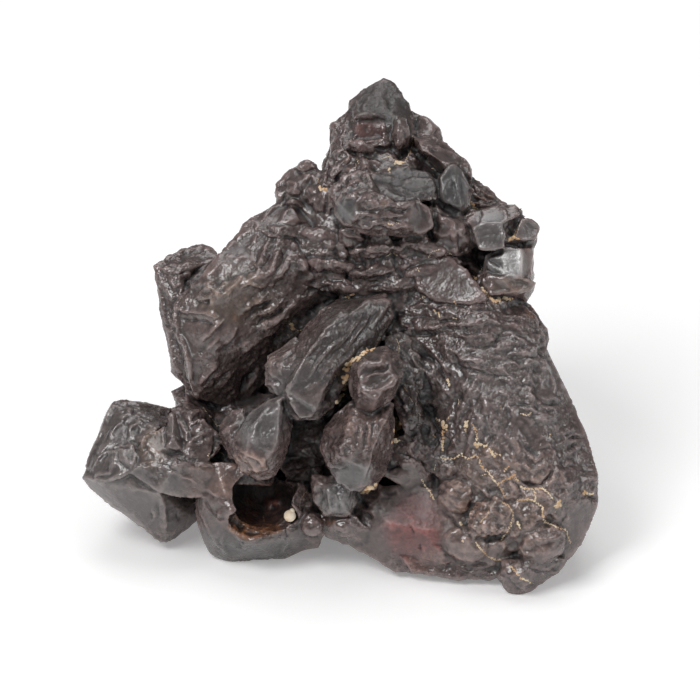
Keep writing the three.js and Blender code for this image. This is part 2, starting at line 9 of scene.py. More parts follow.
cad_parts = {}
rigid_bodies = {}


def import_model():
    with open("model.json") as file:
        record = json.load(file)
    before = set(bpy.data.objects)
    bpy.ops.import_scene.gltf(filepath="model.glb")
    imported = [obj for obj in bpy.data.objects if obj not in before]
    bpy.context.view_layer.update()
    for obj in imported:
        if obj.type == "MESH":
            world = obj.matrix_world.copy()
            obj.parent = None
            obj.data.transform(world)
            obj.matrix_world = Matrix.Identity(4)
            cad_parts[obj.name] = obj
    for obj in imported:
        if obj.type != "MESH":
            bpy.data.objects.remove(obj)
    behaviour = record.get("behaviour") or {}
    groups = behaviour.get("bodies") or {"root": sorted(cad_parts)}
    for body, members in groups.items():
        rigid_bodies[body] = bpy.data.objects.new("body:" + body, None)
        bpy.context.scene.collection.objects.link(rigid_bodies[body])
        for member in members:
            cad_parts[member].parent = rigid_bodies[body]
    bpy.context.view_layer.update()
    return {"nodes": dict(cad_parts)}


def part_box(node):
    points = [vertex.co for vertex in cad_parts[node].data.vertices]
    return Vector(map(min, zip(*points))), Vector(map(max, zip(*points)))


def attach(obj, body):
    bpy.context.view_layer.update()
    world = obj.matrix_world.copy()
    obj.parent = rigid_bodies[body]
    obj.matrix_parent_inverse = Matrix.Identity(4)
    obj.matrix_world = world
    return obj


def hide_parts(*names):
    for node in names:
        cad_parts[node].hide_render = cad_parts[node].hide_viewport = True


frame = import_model()


# The view of the stone
#
# The stone is seen square on to its broad face, which leans back by 30 degrees, through a long lens.
# A place on the face is given as it is seen in the 700 pixel frame, and by how far it stands out of
# the middle of the face in millimetres.

MM = 0.001
LEAN = math.radians(30)
FACE_CENTRE = Vector((1.463, -4.234, 29.2)) * MM
FACE_RIGHT = Vector((1, 0, 0))
FACE_UP = Vector((0, math.sin(LEAN), math.cos(LEAN)))
FACE_OUT = Vector((0, -math.cos(LEAN), math.sin(LEAN)))
PIXEL_MM = 0.15
FRAME_PIXELS = 700
FRAME_MIDDLE = FRAME_PIXELS / 2
FRAME_WIDTH = FRAME_PIXELS * PIXEL_MM * MM
VIEW_DISTANCE = 1.0
SENSOR_MM = 36
FARTHEST_SEEN = 50


def on_face(across, down, out_mm=0.0):
    right = (across - FRAME_MIDDLE) * PIXEL_MM * MM
    up = (FRAME_MIDDLE - down) * PIXEL_MM * MM
    return FACE_CENTRE + FACE_RIGHT * right + FACE_UP * up + FACE_OUT * out_mm * MM


lens = bpy.data.cameras.new("long_lens")
lens.lens = SENSOR_MM * VIEW_DISTANCE / FRAME_WIDTH
lens.clip_end = FARTHEST_SEEN
viewer = bpy.data.objects.new("viewer", lens)
bpy.context.scene.collection.objects.link(viewer)
viewer.location = FACE_CENTRE + FACE_OUT * VIEW_DISTANCE
viewer.rotation_euler = (-FACE_OUT).to_track_quat("-Z", "Y").to_euler()
bpy.context.scene.camera = viewer


# The core
#
# Pyrite crystals grew through each other in chalk, and turned to iron oxide where they stood. The
# core is the cluster's whole body, before the small crystals, the folds and the wear are given.

bpy.ops.object.select_all(action="DESELECT")
core_mesh = frame["nodes"]["stone"].data.copy()
core = bpy.data.objects.new("crystal_core", core_mesh)
bpy.context.scene.collection.objects.link(core)
bpy.context.view_layer.objects.active = core
core.select_set(True)

MERGE_DISTANCE = 0.002 * MM
bpy.ops.object.mode_set(mode="EDIT")
bpy.ops.mesh.select_all(action="SELECT")
bpy.ops.mesh.remove_doubles(threshold=MERGE_DISTANCE)
bpy.ops.object.mode_set(mode="OBJECT")

# What the wear and the weather leave on the crystals, gathered crystal by crystal:
fold_fields = []  # rounded folds with creases between them, over an oval
strokes = []  # one ridge or groove along a line
calm_ovals = []  # smooth faces
dull_ovals = []  # faces that have lost their shine
stain_and_painted_light_ovals = []  # other colours of the iron oxide, and painted light and painted shade on a few faces
chalk_lines = []  # chalk left in cracks


def folds(middle, half_size, turn, spacing, height):
    fold_fields.append((middle, half_size, turn, spacing, height))


def ridge(height, width, *places):
    strokes.append((height, width, places))


def groove(depth, width, *places):
    strokes.append((-depth, width, places))


def smooth_face(middle, half_size, turn=0, calm=0.9):
    calm_ovals.append((middle, half_size, turn, calm))


def dull_face(middle, half_size, turn=0, amount=1.0):
    dull_ovals.append((middle, half_size, turn, amount))


def stain_and_painted_light(colour, middle, half_size, amount, turn=0):
    stain_and_painted_light_ovals.append((colour, middle, half_size, turn, amount))


def chalk(width, *places):
    chalk_lines.append((width, places))


GREY = (0.083, 0.077, 0.077)
RUST = (0.15, 0.068, 0.035)
RED = (0.138, 0.045, 0.041)
PINK = (0.15, 0.098, 0.083)
WARM = (0.115, 0.083, 0.068)
BEVEL_SEGMENTS = 3


def add_and_apply(kind, **settings):
    made = bpy.context.object.modifiers.new(kind.lower(), kind)
    for name, value in settings.items():
        setattr(made, name, value)
    bpy.ops.object.modifier_apply(modifier=made.name)


def grow_onto_core(bevel):
    """The crystal just made gets worn edges, and becomes part of the core."""
    add_and_apply("BEVEL", width=bevel * MM, segments=BEVEL_SEGMENTS)
    core.select_set(True)
    bpy.context.view_layer.objects.active = core
    bpy.ops.object.join()


def crystal(bevel, depth, *corners):
    """A flat-faced crystal grown into the core: the corners of its front face, each with how far it
    stands out in millimetres, and how deep it reaches behind them."""
    bpy.ops.object.select_all(action="DESELECT")
    bpy.ops.mesh.primitive_circle_add(vertices=len(corners), radius=MM, fill_type="NGON")
    for vertex, (across, down, out_mm) in zip(bpy.context.object.data.vertices, corners):
        vertex.co = on_face(across, down, out_mm)
    bpy.ops.object.mode_set(mode="EDIT")
    bpy.ops.mesh.select_all(action="SELECT")
    bpy.ops.mesh.extrude_region_move(TRANSFORM_OT_translate={"value": -FACE_OUT * depth * MM})
    bpy.ops.mesh.select_all(action="SELECT")
    bpy.ops.mesh.normals_make_consistent(inside=False)
    bpy.ops.object.mode_set(mode="OBJECT")
    grow_onto_core(bevel)


# The ridges in the middle
#
# Between the crystals the body shows as worn ridges that run level, one above the other, and end in
# a rounded shoulder on the right.

crystal(0.6, 5, (434, 210, 3.0), (450, 212, 2.8), (462, 222, 3.6), (463, 236, 3.8), (459, 256, 3.6),
        (450, 252, 4.0), (440, 246, 3.8), (432, 236, 3.6))
crystal(0.5, 6, (384, 322, 1.8), (398, 322, 1.6), (402, 338, 2.2), (388, 342, 2.4))
crystal(0.4, 5, (297, 240, 1.0), (322, 238, 1.6), (345, 244, 2.4), (348, 258, 2.6), (322, 262, 1.8),
        (298, 256, 1.0))
crystal(0.4, 5, (300, 266, 0.8), (336, 264, 1.8), (346, 276, 1.4), (342, 290, 0.8), (318, 292, 0.4),
        (302, 282, 0.5))
crystal(0.4, 5, (352, 272, 2.4), (398, 270, 2.6), (402, 286, 2.2), (380, 294, 1.9), (356, 288, 1.8))
crystal(0.5, 5, (398, 238, 3.9), (430, 236, 4.0), (434, 256, 3.4), (416, 266, 3.1), (398, 258, 3.3))
folds((385, 262), (95, 42), -8, 2.0, 0.42)
folds((370, 262), (74, 34), 10, 1.1, 0.32)
folds((452, 232), (30, 34), 60, 2.6, 0.19)
ridge(0.30, 0.40, (300, 229), (315, 226), (335, 229), (352, 236), (372, 240))
ridge(0.25, 0.40, (310, 241), (325, 244), (345, 252), (365, 254))
ridge(0.25, 0.35, (318, 262), (340, 264), (356, 270))
ridge(0.30, 0.35, (362, 243), (372, 248), (384, 246), (398, 250), (410, 246))
ridge(0.25, 0.35, (366, 282), (380, 278), (398, 282), (410, 276))
groove(0.4, 0.4, (316, 256), (335, 258), (352, 263))
groove(0.4, 0.4, (300, 283), (318, 290), (335, 285))
groove(0.5, 0.5, (368, 256), (385, 257), (400, 260), (418, 255))
ridge(0.40, 0.6, (436, 222), (448, 222), (460, 228), (462, 240))
ridge(0.35, 0.5, (432, 232), (442, 236), (452, 234), (455, 245))
ridge(0.35, 0.4, (466, 226), (469, 235), (466, 246))
groove(0.6, 0.5, (428, 205), (440, 212), (455, 217), (462, 222))
groove(0.4, 0.4, (456, 224), (459, 240), (460, 254))
ridge(0.70, 0.80, (346, 268), (354, 271))
ridge(0.60, 0.70, (372, 262), (378, 268))
ridge(0.60, 0.80, (402, 268), (410, 264))
ridge(0.55, 0.60, (314, 262), (320, 268), (318, 276))
groove(0.8, 0.5, (338, 240), (334, 252), (342, 264))
groove(0.8, 0.5, (366, 246), (361, 258), (367, 274))
groove(0.7, 0.5, (396, 242), (392, 254), (398, 270), (404, 280))
smooth_face((330, 234), (34, 8), 0, 0.6)
smooth_face((446, 236), (20, 24), 0, 0.75)
chalk(0.10, (386, 257), (392, 253), (397, 256))
chalk(0.09, (428, 258), (431, 252), (440, 250))
chalk(0.09, (447, 252), (451, 255))


# The left wing
#
# A broad blade lies against the middle on the left, with a low pyramid grown at its top. Wind has
# cut slanting folds into its face, and left a ledge and a small square hollow near its left edge.

folds((250, 335), (62, 62), 42, 3.0, 0.32)
folds((290, 260), (40, 30), 60, 2.6, 0.24)
folds((225, 375), (45, 36), 55, 1.9, 0.17)
folds((225, 255), (38, 26), 35, 3.1, 0.10)
folds((265, 335), (52, 34), 42, 1.1, 0.26)
folds((235, 378), (40, 22), 20, 1.0, 0.25)
smooth_face((215, 322), (36, 24), 0, 0.8)
smooth_face((236, 243), (34, 11), 38, 0.7)
smooth_face((245, 285), (26, 12), 20, 0.6)
smooth_face((228, 266), (30, 12), 25, 0.85)
smooth_face((290, 213), (30, 15), 0, 0.8)
smooth_face((190, 352), (9, 50), 0, 0.9)
ridge(0.50, 1.0, (202, 278), (215, 270), (232, 262), (250, 258))
ridge(0.45, 0.8, (214, 262), (232, 246), (246, 234), (256, 226))
groove(0.8, 1.1, (210, 292), (222, 280), (240, 272), (256, 268), (272, 262))
ridge(0.40, 0.35, (186, 290), (196, 285), (212, 283), (220, 287))
ridge(0.45, 0.45, (203, 292), (210, 288), (216, 292), (222, 300))
groove(1.0, 0.7, (194, 298), (198, 303), (206, 303), (208, 298))
ridge(0.65, 0.40, (174, 308), (185, 312), (196, 313), (208, 314), (218, 317))
ridge(0.60, 0.34, (174, 310), (178, 325), (181, 338), (187, 350), (190, 362), (192, 375), (194, 390))
groove(0.6, 0.5, (178, 318), (190, 320), (205, 322), (218, 325))
ridge(0.40, 0.40, (228, 300), (232, 290), (240, 280), (243, 268))
ridge(0.35, 0.35, (240, 288), (250, 284), (262, 288), (275, 285))
ridge(0.75, 0.50, (244, 314), (250, 305), (262, 300), (272, 300))
ridge(0.75, 0.50, (250, 323), (256, 315), (270, 310), (284, 298))
ridge(0.75, 0.50, (262, 331), (272, 322), (286, 316), (297, 300))
groove(0.8, 0.45, (247, 320), (254, 311), (266, 306), (278, 299))
groove(0.9, 0.45, (254, 330), (262, 321), (278, 314), (290, 304))
ridge(0.75, 0.50, (268, 240), (266, 250), (262, 262), (256, 274))
ridge(0.80, 0.55, (281, 246), (276, 258), (272, 270), (266, 278))
ridge(0.70, 0.50, (290, 262), (284, 270), (278, 280))
ridge(0.65, 0.50, (298, 258), (303, 268), (310, 276), (318, 282))
groove(0.9, 0.5, (274, 243), (270, 256), (265, 268))
groove(0.9, 0.5, (287, 250), (282, 262), (275, 274))
groove(0.5, 0.4, (262, 228), (280, 236), (296, 240), (304, 254))
ridge(0.35, 0.40, (256, 224), (258, 234), (254, 246))
ridge(0.45, 0.35, (262, 221), (276, 207), (293, 202), (303, 207), (312, 218))
ridge(0.35, 0.30, (281, 222), (287, 213), (291, 208), (299, 222))
groove(0.4, 0.4, (262, 226), (278, 223), (296, 225), (312, 222))
ridge(0.70, 0.55, (203, 342), (210, 335), (218, 326), (226, 318))
ridge(0.40, 0.40, (206, 352), (214, 343), (222, 334))
ridge(0.65, 0.50, (226, 348), (232, 338), (238, 326))
ridge(0.75, 0.50, (240, 354), (250, 343), (264, 335), (282, 324))
ridge(0.40, 0.40, (248, 366), (258, 355), (270, 346))
ridge(0.65, 0.45, (199, 386), (206, 375), (214, 367), (221, 360))
ridge(0.35, 0.35, (207, 389), (214, 379), (223, 371))
ridge(0.35, 0.35, (221, 388), (230, 376), (238, 362))
ridge(0.40, 0.40, (242, 394), (250, 386), (257, 373), (258, 362))
groove(1.0, 0.9, (238, 398), (248, 380), (258, 366))
groove(1.0, 0.8, (268, 352), (280, 340), (296, 322), (315, 312), (330, 300))
groove(0.9, 0.5, (222, 353), (230, 345), (236, 338))
groove(0.4, 0.3, (256, 252), (256, 262))
groove(0.5, 0.4, (264, 268), (269, 272))
WING_BROWN = (0.112, 0.083, 0.076)
stain_and_painted_light(WING_BROWN, (242, 322), (60, 56), 0.6)
stain_and_painted_light(WARM, (238, 300), (36, 26), 0.8)
stain_and_painted_light(RUST, (236, 316), (6, 5), 0.35)
chalk(0.34, (289, 325), (294, 328))
chalk(0.10, (294, 330), (304, 330))
chalk(0.09, (287, 334), (289, 336))
chalk(0.12, (328, 309), (331, 307))
chalk(0.25, (345, 297), (350, 296), (355, 294))
chalk(0.06, (255, 256), (256, 259))
chalk(0.06, (255, 263), (256, 267))


# The side crystal
#
# A longer crystal stands behind the left wing, with a rounded slanting top and worm-like marks
# down its edge. A deep gap parts it from the wing.

folds((172, 310), (18, 70), 80, 2.1, 0.15)
ridge(0.40, 0.45, (155, 264), (170, 257), (185, 251), (200, 248), (213, 253))
ridge(0.35, 0.35, (160, 270), (171, 266), (184, 266), (196, 262))
groove(0.5, 0.35, (164, 276), (178, 274), (192, 268))
ridge(0.40, 0.35, (160, 278), (166, 289), (173, 298), (179, 296), (183, 288))
ridge(0.30, 0.30, (168, 276), (175, 287), (184, 282))
ridge(0.30, 0.25, (163, 314), (168, 313), (170, 320), (174, 326), (178, 320), (175, 315))
ridge(0.30, 0.25, (166, 322), (170, 330), (176, 333))
ridge(0.35, 0.30, (160, 290), (164, 310), (169, 335), (175, 360), (182, 380))
groove(0.35, 0.3, (175, 338), (180, 355), (186, 372))
groove(0.5, 0.3, (186, 388), (192, 392), (200, 394))
groove(1.2, 0.6, (204, 263), (196, 272), (188, 280), (186, 292))


# The lower left crystals
#
# A crystal with eight faces points to the left, and two lower pyramids and a shoulder are grown
# onto it. Its edges are still straight, and rings mark its lit face.

smooth_face((128, 495), (56, 30), -28, 0.92)
smooth_face((175, 505), (24, 30), 0, 0.9)
smooth_face((110, 450), (30, 40), 0, 0.7)
smooth_face((152, 446), (14, 22), 0, 0.85)
smooth_face((176, 436), (14, 22), 0, 0.85)
smooth_face((215, 478), (28, 20), 0, 0.8)
ridge(0.35, 0.35, (113, 404), (104, 425), (95, 447), (82, 474))
ridge(0.35, 0.35, (114, 403), (130, 404), (148, 406))
ridge(0.40, 0.35, (108, 438), (112, 430), (118, 425), (122, 424))
groove(0.4, 0.25, (105, 442), (108, 432), (114, 425), (121, 421))
ridge(0.40, 0.40, (94, 470), (97, 460), (103, 454), (112, 451), (120, 449))
groove(0.5, 0.3, (92, 466), (98, 455), (108, 449), (120, 446), (133, 448))
ridge(0.40, 0.35, (94, 479), (100, 475), (111, 473), (115, 464), (114, 453))
groove(0.3, 0.3, (101, 472), (108, 468), (110, 460))
ridge(0.35, 0.35, (81, 478), (95, 480), (113, 480), (125, 474), (131, 468))
groove(0.35, 0.3, (84, 474), (91, 468))
ridge(0.40, 0.40, (119, 424), (124, 418), (129, 412), (131, 419))
ridge(0.45, 0.50, (128, 438), (131, 428), (138, 424), (146, 432))
groove(0.5, 0.35, (122, 422), (128, 426), (126, 438))
groove(0.5, 0.35, (124, 443), (134, 441), (140, 446), (136, 455))
groove(0.5, 0.4, (136, 424), (146, 427), (150, 430))
ridge(0.35, 0.35, (121, 452), (128, 460), (131, 466))
ridge(0.35, 0.35, (136, 452), (135, 461), (131, 468))
groove(0.35, 0.3, (117, 448), (118, 460), (127, 468))
ridge(0.45, 0.35, (143, 450), (146, 438), (152, 432), (160, 430), (163, 432))
ridge(0.35, 0.30, (131, 472), (137, 468), (150, 466), (160, 466))
ridge(0.30, 0.30, (143, 456), (150, 450), (152, 458))
groove(0.4, 0.3, (143, 452), (147, 448), (151, 453), (155, 458))
ridge(0.30, 0.30, (137, 466), (146, 462), (158, 462))
groove(0.3, 0.3, (132, 478), (145, 486), (156, 491), (160, 489))
groove(0.3, 0.3, (131, 471), (130, 477), (140, 482))
ridge(0.40, 0.35, (163, 496), (164, 512), (164, 528), (164, 542))
groove(0.35, 0.3, (151, 512), (152, 522))
groove(0.30, 0.25, (156, 503), (158, 510), (157, 518))
ridge(0.30, 0.25, (150, 524), (154, 516), (153, 508))
groove(0.25, 0.3, (176, 513), (178, 522))
groove(0.35, 0.3, (183, 500), (188, 494))
ridge(0.40, 0.40, (164, 450), (165, 430), (170, 414), (173, 411), (178, 420), (188, 432), (188, 440))
ridge(0.30, 0.30, (167, 430), (172, 436), (180, 440))
ridge(0.35, 0.30, (166, 446), (175, 448), (184, 450))
groove(0.6, 0.4, (164, 452), (172, 454), (180, 452), (186, 456))
groove(0.5, 0.4, (181, 418), (188, 428), (190, 440))
ridge(0.45, 0.45, (172, 405), (177, 401), (186, 401), (187, 407))
groove(0.3, 0.3, (180, 402), (183, 408))
ridge(0.45, 0.50, (188, 416), (194, 412), (202, 412), (206, 420))
ridge(0.40, 0.35, (190, 426), (198, 420), (204, 424))
ridge(0.40, 0.35, (186, 448), (194, 440), (202, 435), (210, 432))
ridge(0.35, 0.35, (190, 436), (198, 430), (205, 427))
groove(0.5, 0.35, (190, 422), (196, 417), (202, 418))
groove(0.5, 0.35, (188, 443), (193, 434), (200, 428))
groove(1.0, 0.7, (213, 428), (216, 440), (216, 452), (210, 456))
ridge(0.30, 0.30, (176, 458), (178, 466), (186, 463), (194, 466))
groove(0.4, 0.3, (188, 460), (196, 464), (206, 467), (220, 466))
ridge(0.25, 0.30, (163, 470), (178, 474), (192, 480), (200, 486))
PAINTED_LIGHT_GREY = (0.100, 0.090, 0.088)
# The crystal with eight faces is painted a lighter grey as painted light.
stain_and_painted_light(PAINTED_LIGHT_GREY, (128, 470), (56, 76), 0.6)
stain_and_painted_light(WARM, (152, 448), (14, 20), 0.9)
stain_and_painted_light(PINK, (212, 480), (26, 18), 0.7)
stain_and_painted_light(RUST, (159, 432), (5, 3), 0.3)
chalk(0.10, (203, 407), (207, 413), (211, 418), (217, 426), (221, 425))
chalk(0.14, (208, 456), (210, 454))
chalk(0.13, (220, 452), (224, 455))
chalk(0.07, (194, 464), (196, 462))
chalk(0.06, (194, 487), (196, 487))
chalk(0.06, (129, 486), (131, 488))
chalk(0.06, (114, 489), (117, 490))


# The left foot and its pocket
#
# The smooth foot is eaten out into a brown pocket with a rusty floor. Rings run round the foot
# below it, and a round knob is grown between this foot and the next one.

smooth_face((240, 545), (52, 14), 0, 0.85)
smooth_face((210, 520), (18, 34), 0, 0.8)
smooth_face((300, 540), (24, 12), 0, 0.9)
smooth_face((262, 500), (34, 26), 0, 0.6)
ridge(0.25, 0.30, (200, 506), (207, 525), (218, 545), (228, 556))
ridge(0.25, 0.25, (224, 532), (222, 542), (226, 552))
ridge(0.35, 0.35, (233, 543), (240, 548), (250, 547), (254, 543))
ridge(0.25, 0.25, (238, 541), (244, 544), (250, 541))
groove(0.3, 0.25, (236, 545), (244, 549), (254, 546))
groove(0.3, 0.3, (203, 497), (210, 508), (222, 518), (230, 520))
groove(0.3, 0.3, (200, 490), (212, 497), (222, 499))
ridge(0.40, 0.40, (230, 520), (234, 530), (240, 537), (250, 541), (260, 538), (268, 533), (280, 531))
ridge(0.50, 0.45, (222, 508), (220, 518), (224, 525))
groove(0.4, 0.3, (285, 526), (287, 535), (286, 544))
ridge(0.30, 0.30, (281, 552), (286, 546), (288, 538))
ridge(0.50, 0.60, (266, 512), (272, 506), (280, 505), (284, 510))
ridge(0.40, 0.40, (240, 535), (250, 530), (262, 533), (270, 527))
ridge(0.60, 0.60, (307, 500), (311, 508))
groove(0.5, 0.4, (303, 512), (306, 506))
FOOT_GREY = (0.048, 0.042, 0.041)
POCKET_BROWN = (0.17, 0.075, 0.058)
stain_and_painted_light(FOOT_GREY, (245, 548), (62, 22), 0.75)
stain_and_painted_light(RUST, (256, 527), (26, 8), 0.9)
stain_and_painted_light(RUST, (250, 534), (12, 5), 0.6)
stain_and_painted_light(RUST, (240, 520), (6, 10), 0.5)
stain_and_painted_light(POCKET_BROWN, (262, 504), (20, 20), 0.95)
chalk(0.07, (263, 516), (264, 522))
chalk(0.07, (301, 499), (304, 494), (308, 490))


# The fingers
#
# A long crystal runs down to the left with a flat face and a sharp bright edge, and ends against a
# blunter one whose tip is polished. Both are fluted along their length.

crystal(0.3, 6, (303, 364, 12.1), (330, 336, 10.8), (352, 312, 8.8), (366, 300, 7.5), (392, 300, 5.8),
        (380, 322, 6.7), (352, 352, 9.2), (344, 372, 9.7), (328, 396, 11.2), (312, 417, 12.0),
        (300, 419, 12.2), (290, 402, 12.2))
folds((335, 355), (30, 52), 52, 1.9, 0.13)
folds((372, 322), (24, 30), 55, 1.7, 0.14)
folds((272, 372), (14, 26), 70, 1.8, 0.14)
smooth_face((300, 390), (34, 26), -30, 0.7)
smooth_face((262, 428), (28, 36), 0, 0.75)
smooth_face((345, 335), (28, 50), -35, 0.45)
ridge(0.40, 0.25, (286, 394), (292, 384), (297, 374), (303, 364))
ridge(0.35, 0.25, (303, 364), (308, 354), (314, 347), (319, 342))
ridge(0.35, 0.35, (320, 338), (326, 336), (331, 335))
ridge(0.30, 0.30, (326, 330), (334, 325), (340, 320), (350, 312))
ridge(0.25, 0.25, (288, 392), (291, 398), (296, 401))
groove(0.35, 0.25, (282, 390), (290, 374), (297, 362), (303, 350))
ridge(0.25, 0.20, (284, 388), (290, 374), (298, 358))
groove(0.45, 0.25, (285, 398), (286, 408), (285, 414))
ridge(0.28, 0.26, (306, 380), (318, 364), (332, 348), (346, 334))
ridge(0.24, 0.24, (334, 352), (346, 338), (358, 322), (366, 308))
ridge(0.24, 0.24, (348, 346), (360, 330), (372, 312))
groove(0.30, 0.24, (322, 366), (336, 352), (350, 338), (362, 322))
groove(0.28, 0.24, (338, 364), (352, 346), (366, 328), (378, 308))
groove(0.26, 0.24, (312, 366), (324, 350), (338, 336))
ridge(0.20, 0.30, (306, 392), (318, 382), (332, 366))
ridge(0.20, 0.30, (310, 405), (320, 394), (332, 380))
ridge(0.40, 0.40, (262, 376), (266, 366), (272, 362), (270, 372), (274, 378))
ridge(0.40, 0.40, (261, 390), (266, 384), (274, 384), (279, 394))
ridge(0.35, 0.30, (276, 362), (282, 366), (282, 374))
groove(0.5, 0.35, (270, 380), (278, 382), (282, 386))
ridge(0.30, 0.30, (275, 404), (280, 400), (286, 398))
ridge(0.35, 0.30, (253, 436), (257, 426), (264, 414), (272, 404))
groove(0.3, 0.3, (284, 418), (286, 436), (284, 446))
ridge(0.20, 0.30, (262, 446), (272, 450), (280, 446))
ridge(0.40, 0.35, (237, 448), (244, 450), (252, 454), (262, 460), (266, 466))
ridge(0.35, 0.35, (250, 462), (258, 468), (264, 466))
groove(0.4, 0.35, (250, 456), (256, 460), (262, 466))
groove(0.3, 0.3, (267, 456), (270, 464), (272, 472))
ridge(0.30, 0.30, (234, 464), (242, 472), (252, 477), (262, 478), (276, 474))
groove(0.4, 0.3, (232, 430), (235, 440), (240, 446))
ridge(0.45, 0.40, (222, 436), (228, 430), (238, 425))
ridge(0.40, 0.40, (230, 418), (234, 413), (240, 416))
ridge(0.35, 0.40, (228, 470), (236, 466))
groove(0.9, 0.8, (324, 404), (334, 392), (342, 376), (346, 362))
groove(1.0, 0.8, (322, 420), (334, 412), (344, 404))
FINGER_GREY = (0.058, 0.050, 0.049)
DARK_BROWN = (0.052, 0.043, 0.041)
DARKEST_BROWN = (0.04, 0.03, 0.028)
stain_and_painted_light(GREY, (300, 395), (34, 34), 0.55, -30)
stain_and_painted_light(GREY, (262, 425), (22, 26), 0.8)
stain_and_painted_light(GREY, (288, 336), (12, 8), 0.6)
stain_and_painted_light(PINK, (250, 462), (18, 12), 0.85)
stain_and_painted_light(PINK, (318, 392), (12, 10), 0.4)
stain_and_painted_light(FINGER_GREY, (326, 366), (26, 40), 0.5)
stain_and_painted_light(DARK_BROWN, (356, 328), (34, 34), 0.8)
stain_and_painted_light(DARKEST_BROWN, (352, 312), (36, 12), 0.6, -40)


# The trunk
#
# Two blunt crystals stand one on the other down the middle, the upper with worm-like marks round
# its top, the lower fluted along its length. A grey one and a low block lie under them.

folds((352, 380), (8, 26), 95, 1.6, 0.17)
folds((372, 432), (26, 26), 80, 1.8, 0.15)
folds((336, 452), (14, 16), 30, 1.4, 0.20)
smooth_face((352, 472), (24, 14), 0, 0.8)
smooth_face((370, 402), (14, 10), 0, 0.6)
smooth_face((330, 500), (24, 18), 0, 0.6)
smooth_face((378, 374), (22, 24), 0, 0.85)
ridge(0.80, 0.40, (358, 376), (360, 368), (366, 364), (374, 366), (382, 364), (383, 358), (376, 356))
ridge(0.80, 0.40, (386, 354), (394, 356), (398, 364), (397, 374), (390, 384), (380, 391), (370, 390))
ridge(0.65, 0.36, (362, 382), (369, 377), (378, 375), (387, 374))
groove(0.60, 0.32, (364, 373), (373, 371), (382, 370), (389, 364), (388, 358))
groove(0.50, 0.30, (366, 386), (374, 382), (384, 381))
groove(0.35, 0.3, (358, 360), (357, 375), (360, 390), (360, 402))
ridge(0.30, 0.25, (351, 362), (350, 376), (351, 390), (354, 402))
ridge(0.30, 0.30, (346, 384), (347, 394), (351, 402))
ridge(0.40, 0.40, (350, 406), (356, 411), (361, 414))
ridge(0.30, 0.25, (381, 404), (382, 412), (384, 416))
groove(0.5, 0.4, (362, 412), (370, 415), (378, 410), (384, 402), (394, 398))
ridge(0.30, 0.25, (360, 420), (361, 432), (358, 444))
ridge(0.35, 0.25, (369, 418), (370, 430), (367, 445))
ridge(0.30, 0.25, (376, 416), (375, 432), (371, 447))
groove(0.3, 0.25, (365, 420), (365, 435), (363, 448))
groove(0.35, 0.3, (385, 428), (379, 440), (374, 455), (369, 470), (366, 478))
ridge(0.35, 0.30, (388, 412), (386, 424), (390, 436), (386, 452))
ridge(0.35, 0.30, (394, 402), (402, 406), (410, 411))
ridge(0.30, 0.30, (326, 452), (328, 460), (333, 466), (340, 467), (347, 463))
ridge(0.35, 0.35, (333, 444), (340, 447), (345, 456))
ridge(0.30, 0.30, (350, 440), (354, 450), (350, 460))
ridge(0.30, 0.30, (325, 468), (332, 477), (342, 483), (352, 487), (362, 486))
ridge(0.25, 0.25, (342, 486), (352, 488), (360, 489))
ridge(0.30, 0.30, (328, 486), (330, 500), (330, 512))
groove(0.3, 0.3, (338, 490), (340, 503), (340, 512))
groove(0.4, 0.3, (320, 486), (322, 498), (318, 508))
ridge(0.35, 0.40, (316, 478), (318, 486), (314, 494))
groove(0.6, 0.4, (320, 516), (332, 517), (346, 516), (352, 514))
ridge(0.30, 0.30, (334, 520), (346, 518), (352, 524), (360, 528))
groove(0.8, 0.5, (358, 492), (362, 502), (368, 508))
groove(0.6, 0.4, (362, 514), (368, 513), (372, 520))
ridge(0.45, 0.40, (372, 487), (380, 488), (382, 496), (376, 500))
ridge(0.40, 0.35, (360, 507), (366, 511), (373, 511), (376, 517))
stain_and_painted_light(GREY, (352, 472), (24, 12), 0.8)
stain_and_painted_light(GREY, (338, 498), (20, 16), 0.9)
stain_and_painted_light(PINK, (364, 428), (22, 22), 0.3)
stain_and_painted_light(RUST, (328, 520), (7, 4), 0.5)
chalk(0.47, (347, 371), (348, 364), (354, 360), (359, 357))
chalk(0.34, (361, 354), (365, 352), (368, 350), (374, 349))
chalk(0.45, (346, 376), (345, 384), (343, 390))
chalk(0.38, (344, 394), (340, 398), (337, 402))
chalk(0.10, (375, 347), (378, 342), (380, 338))
chalk(0.10, (396, 338), (399, 345), (399, 353))
chalk(0.50, (397, 418), (397, 426), (395, 432))
chalk(0.38, (397, 434), (396, 439), (393, 443))
chalk(0.50, (364, 490), (368, 488), (373, 485))
chalk(0.06, (367, 444), (367, 449))
chalk(0.10, (404, 387), (407, 391))
chalk(0.07, (409, 396), (412, 402))
chalk(0.07, (417, 412), (421, 415))
chalk(0.04, (368, 424), (368, 430))


# The right slab
#
# The widest crystal runs from the middle to the right foot. Level folds cross its upper face, and
# its lower face is broken into low rounded lumps with chalk between them.

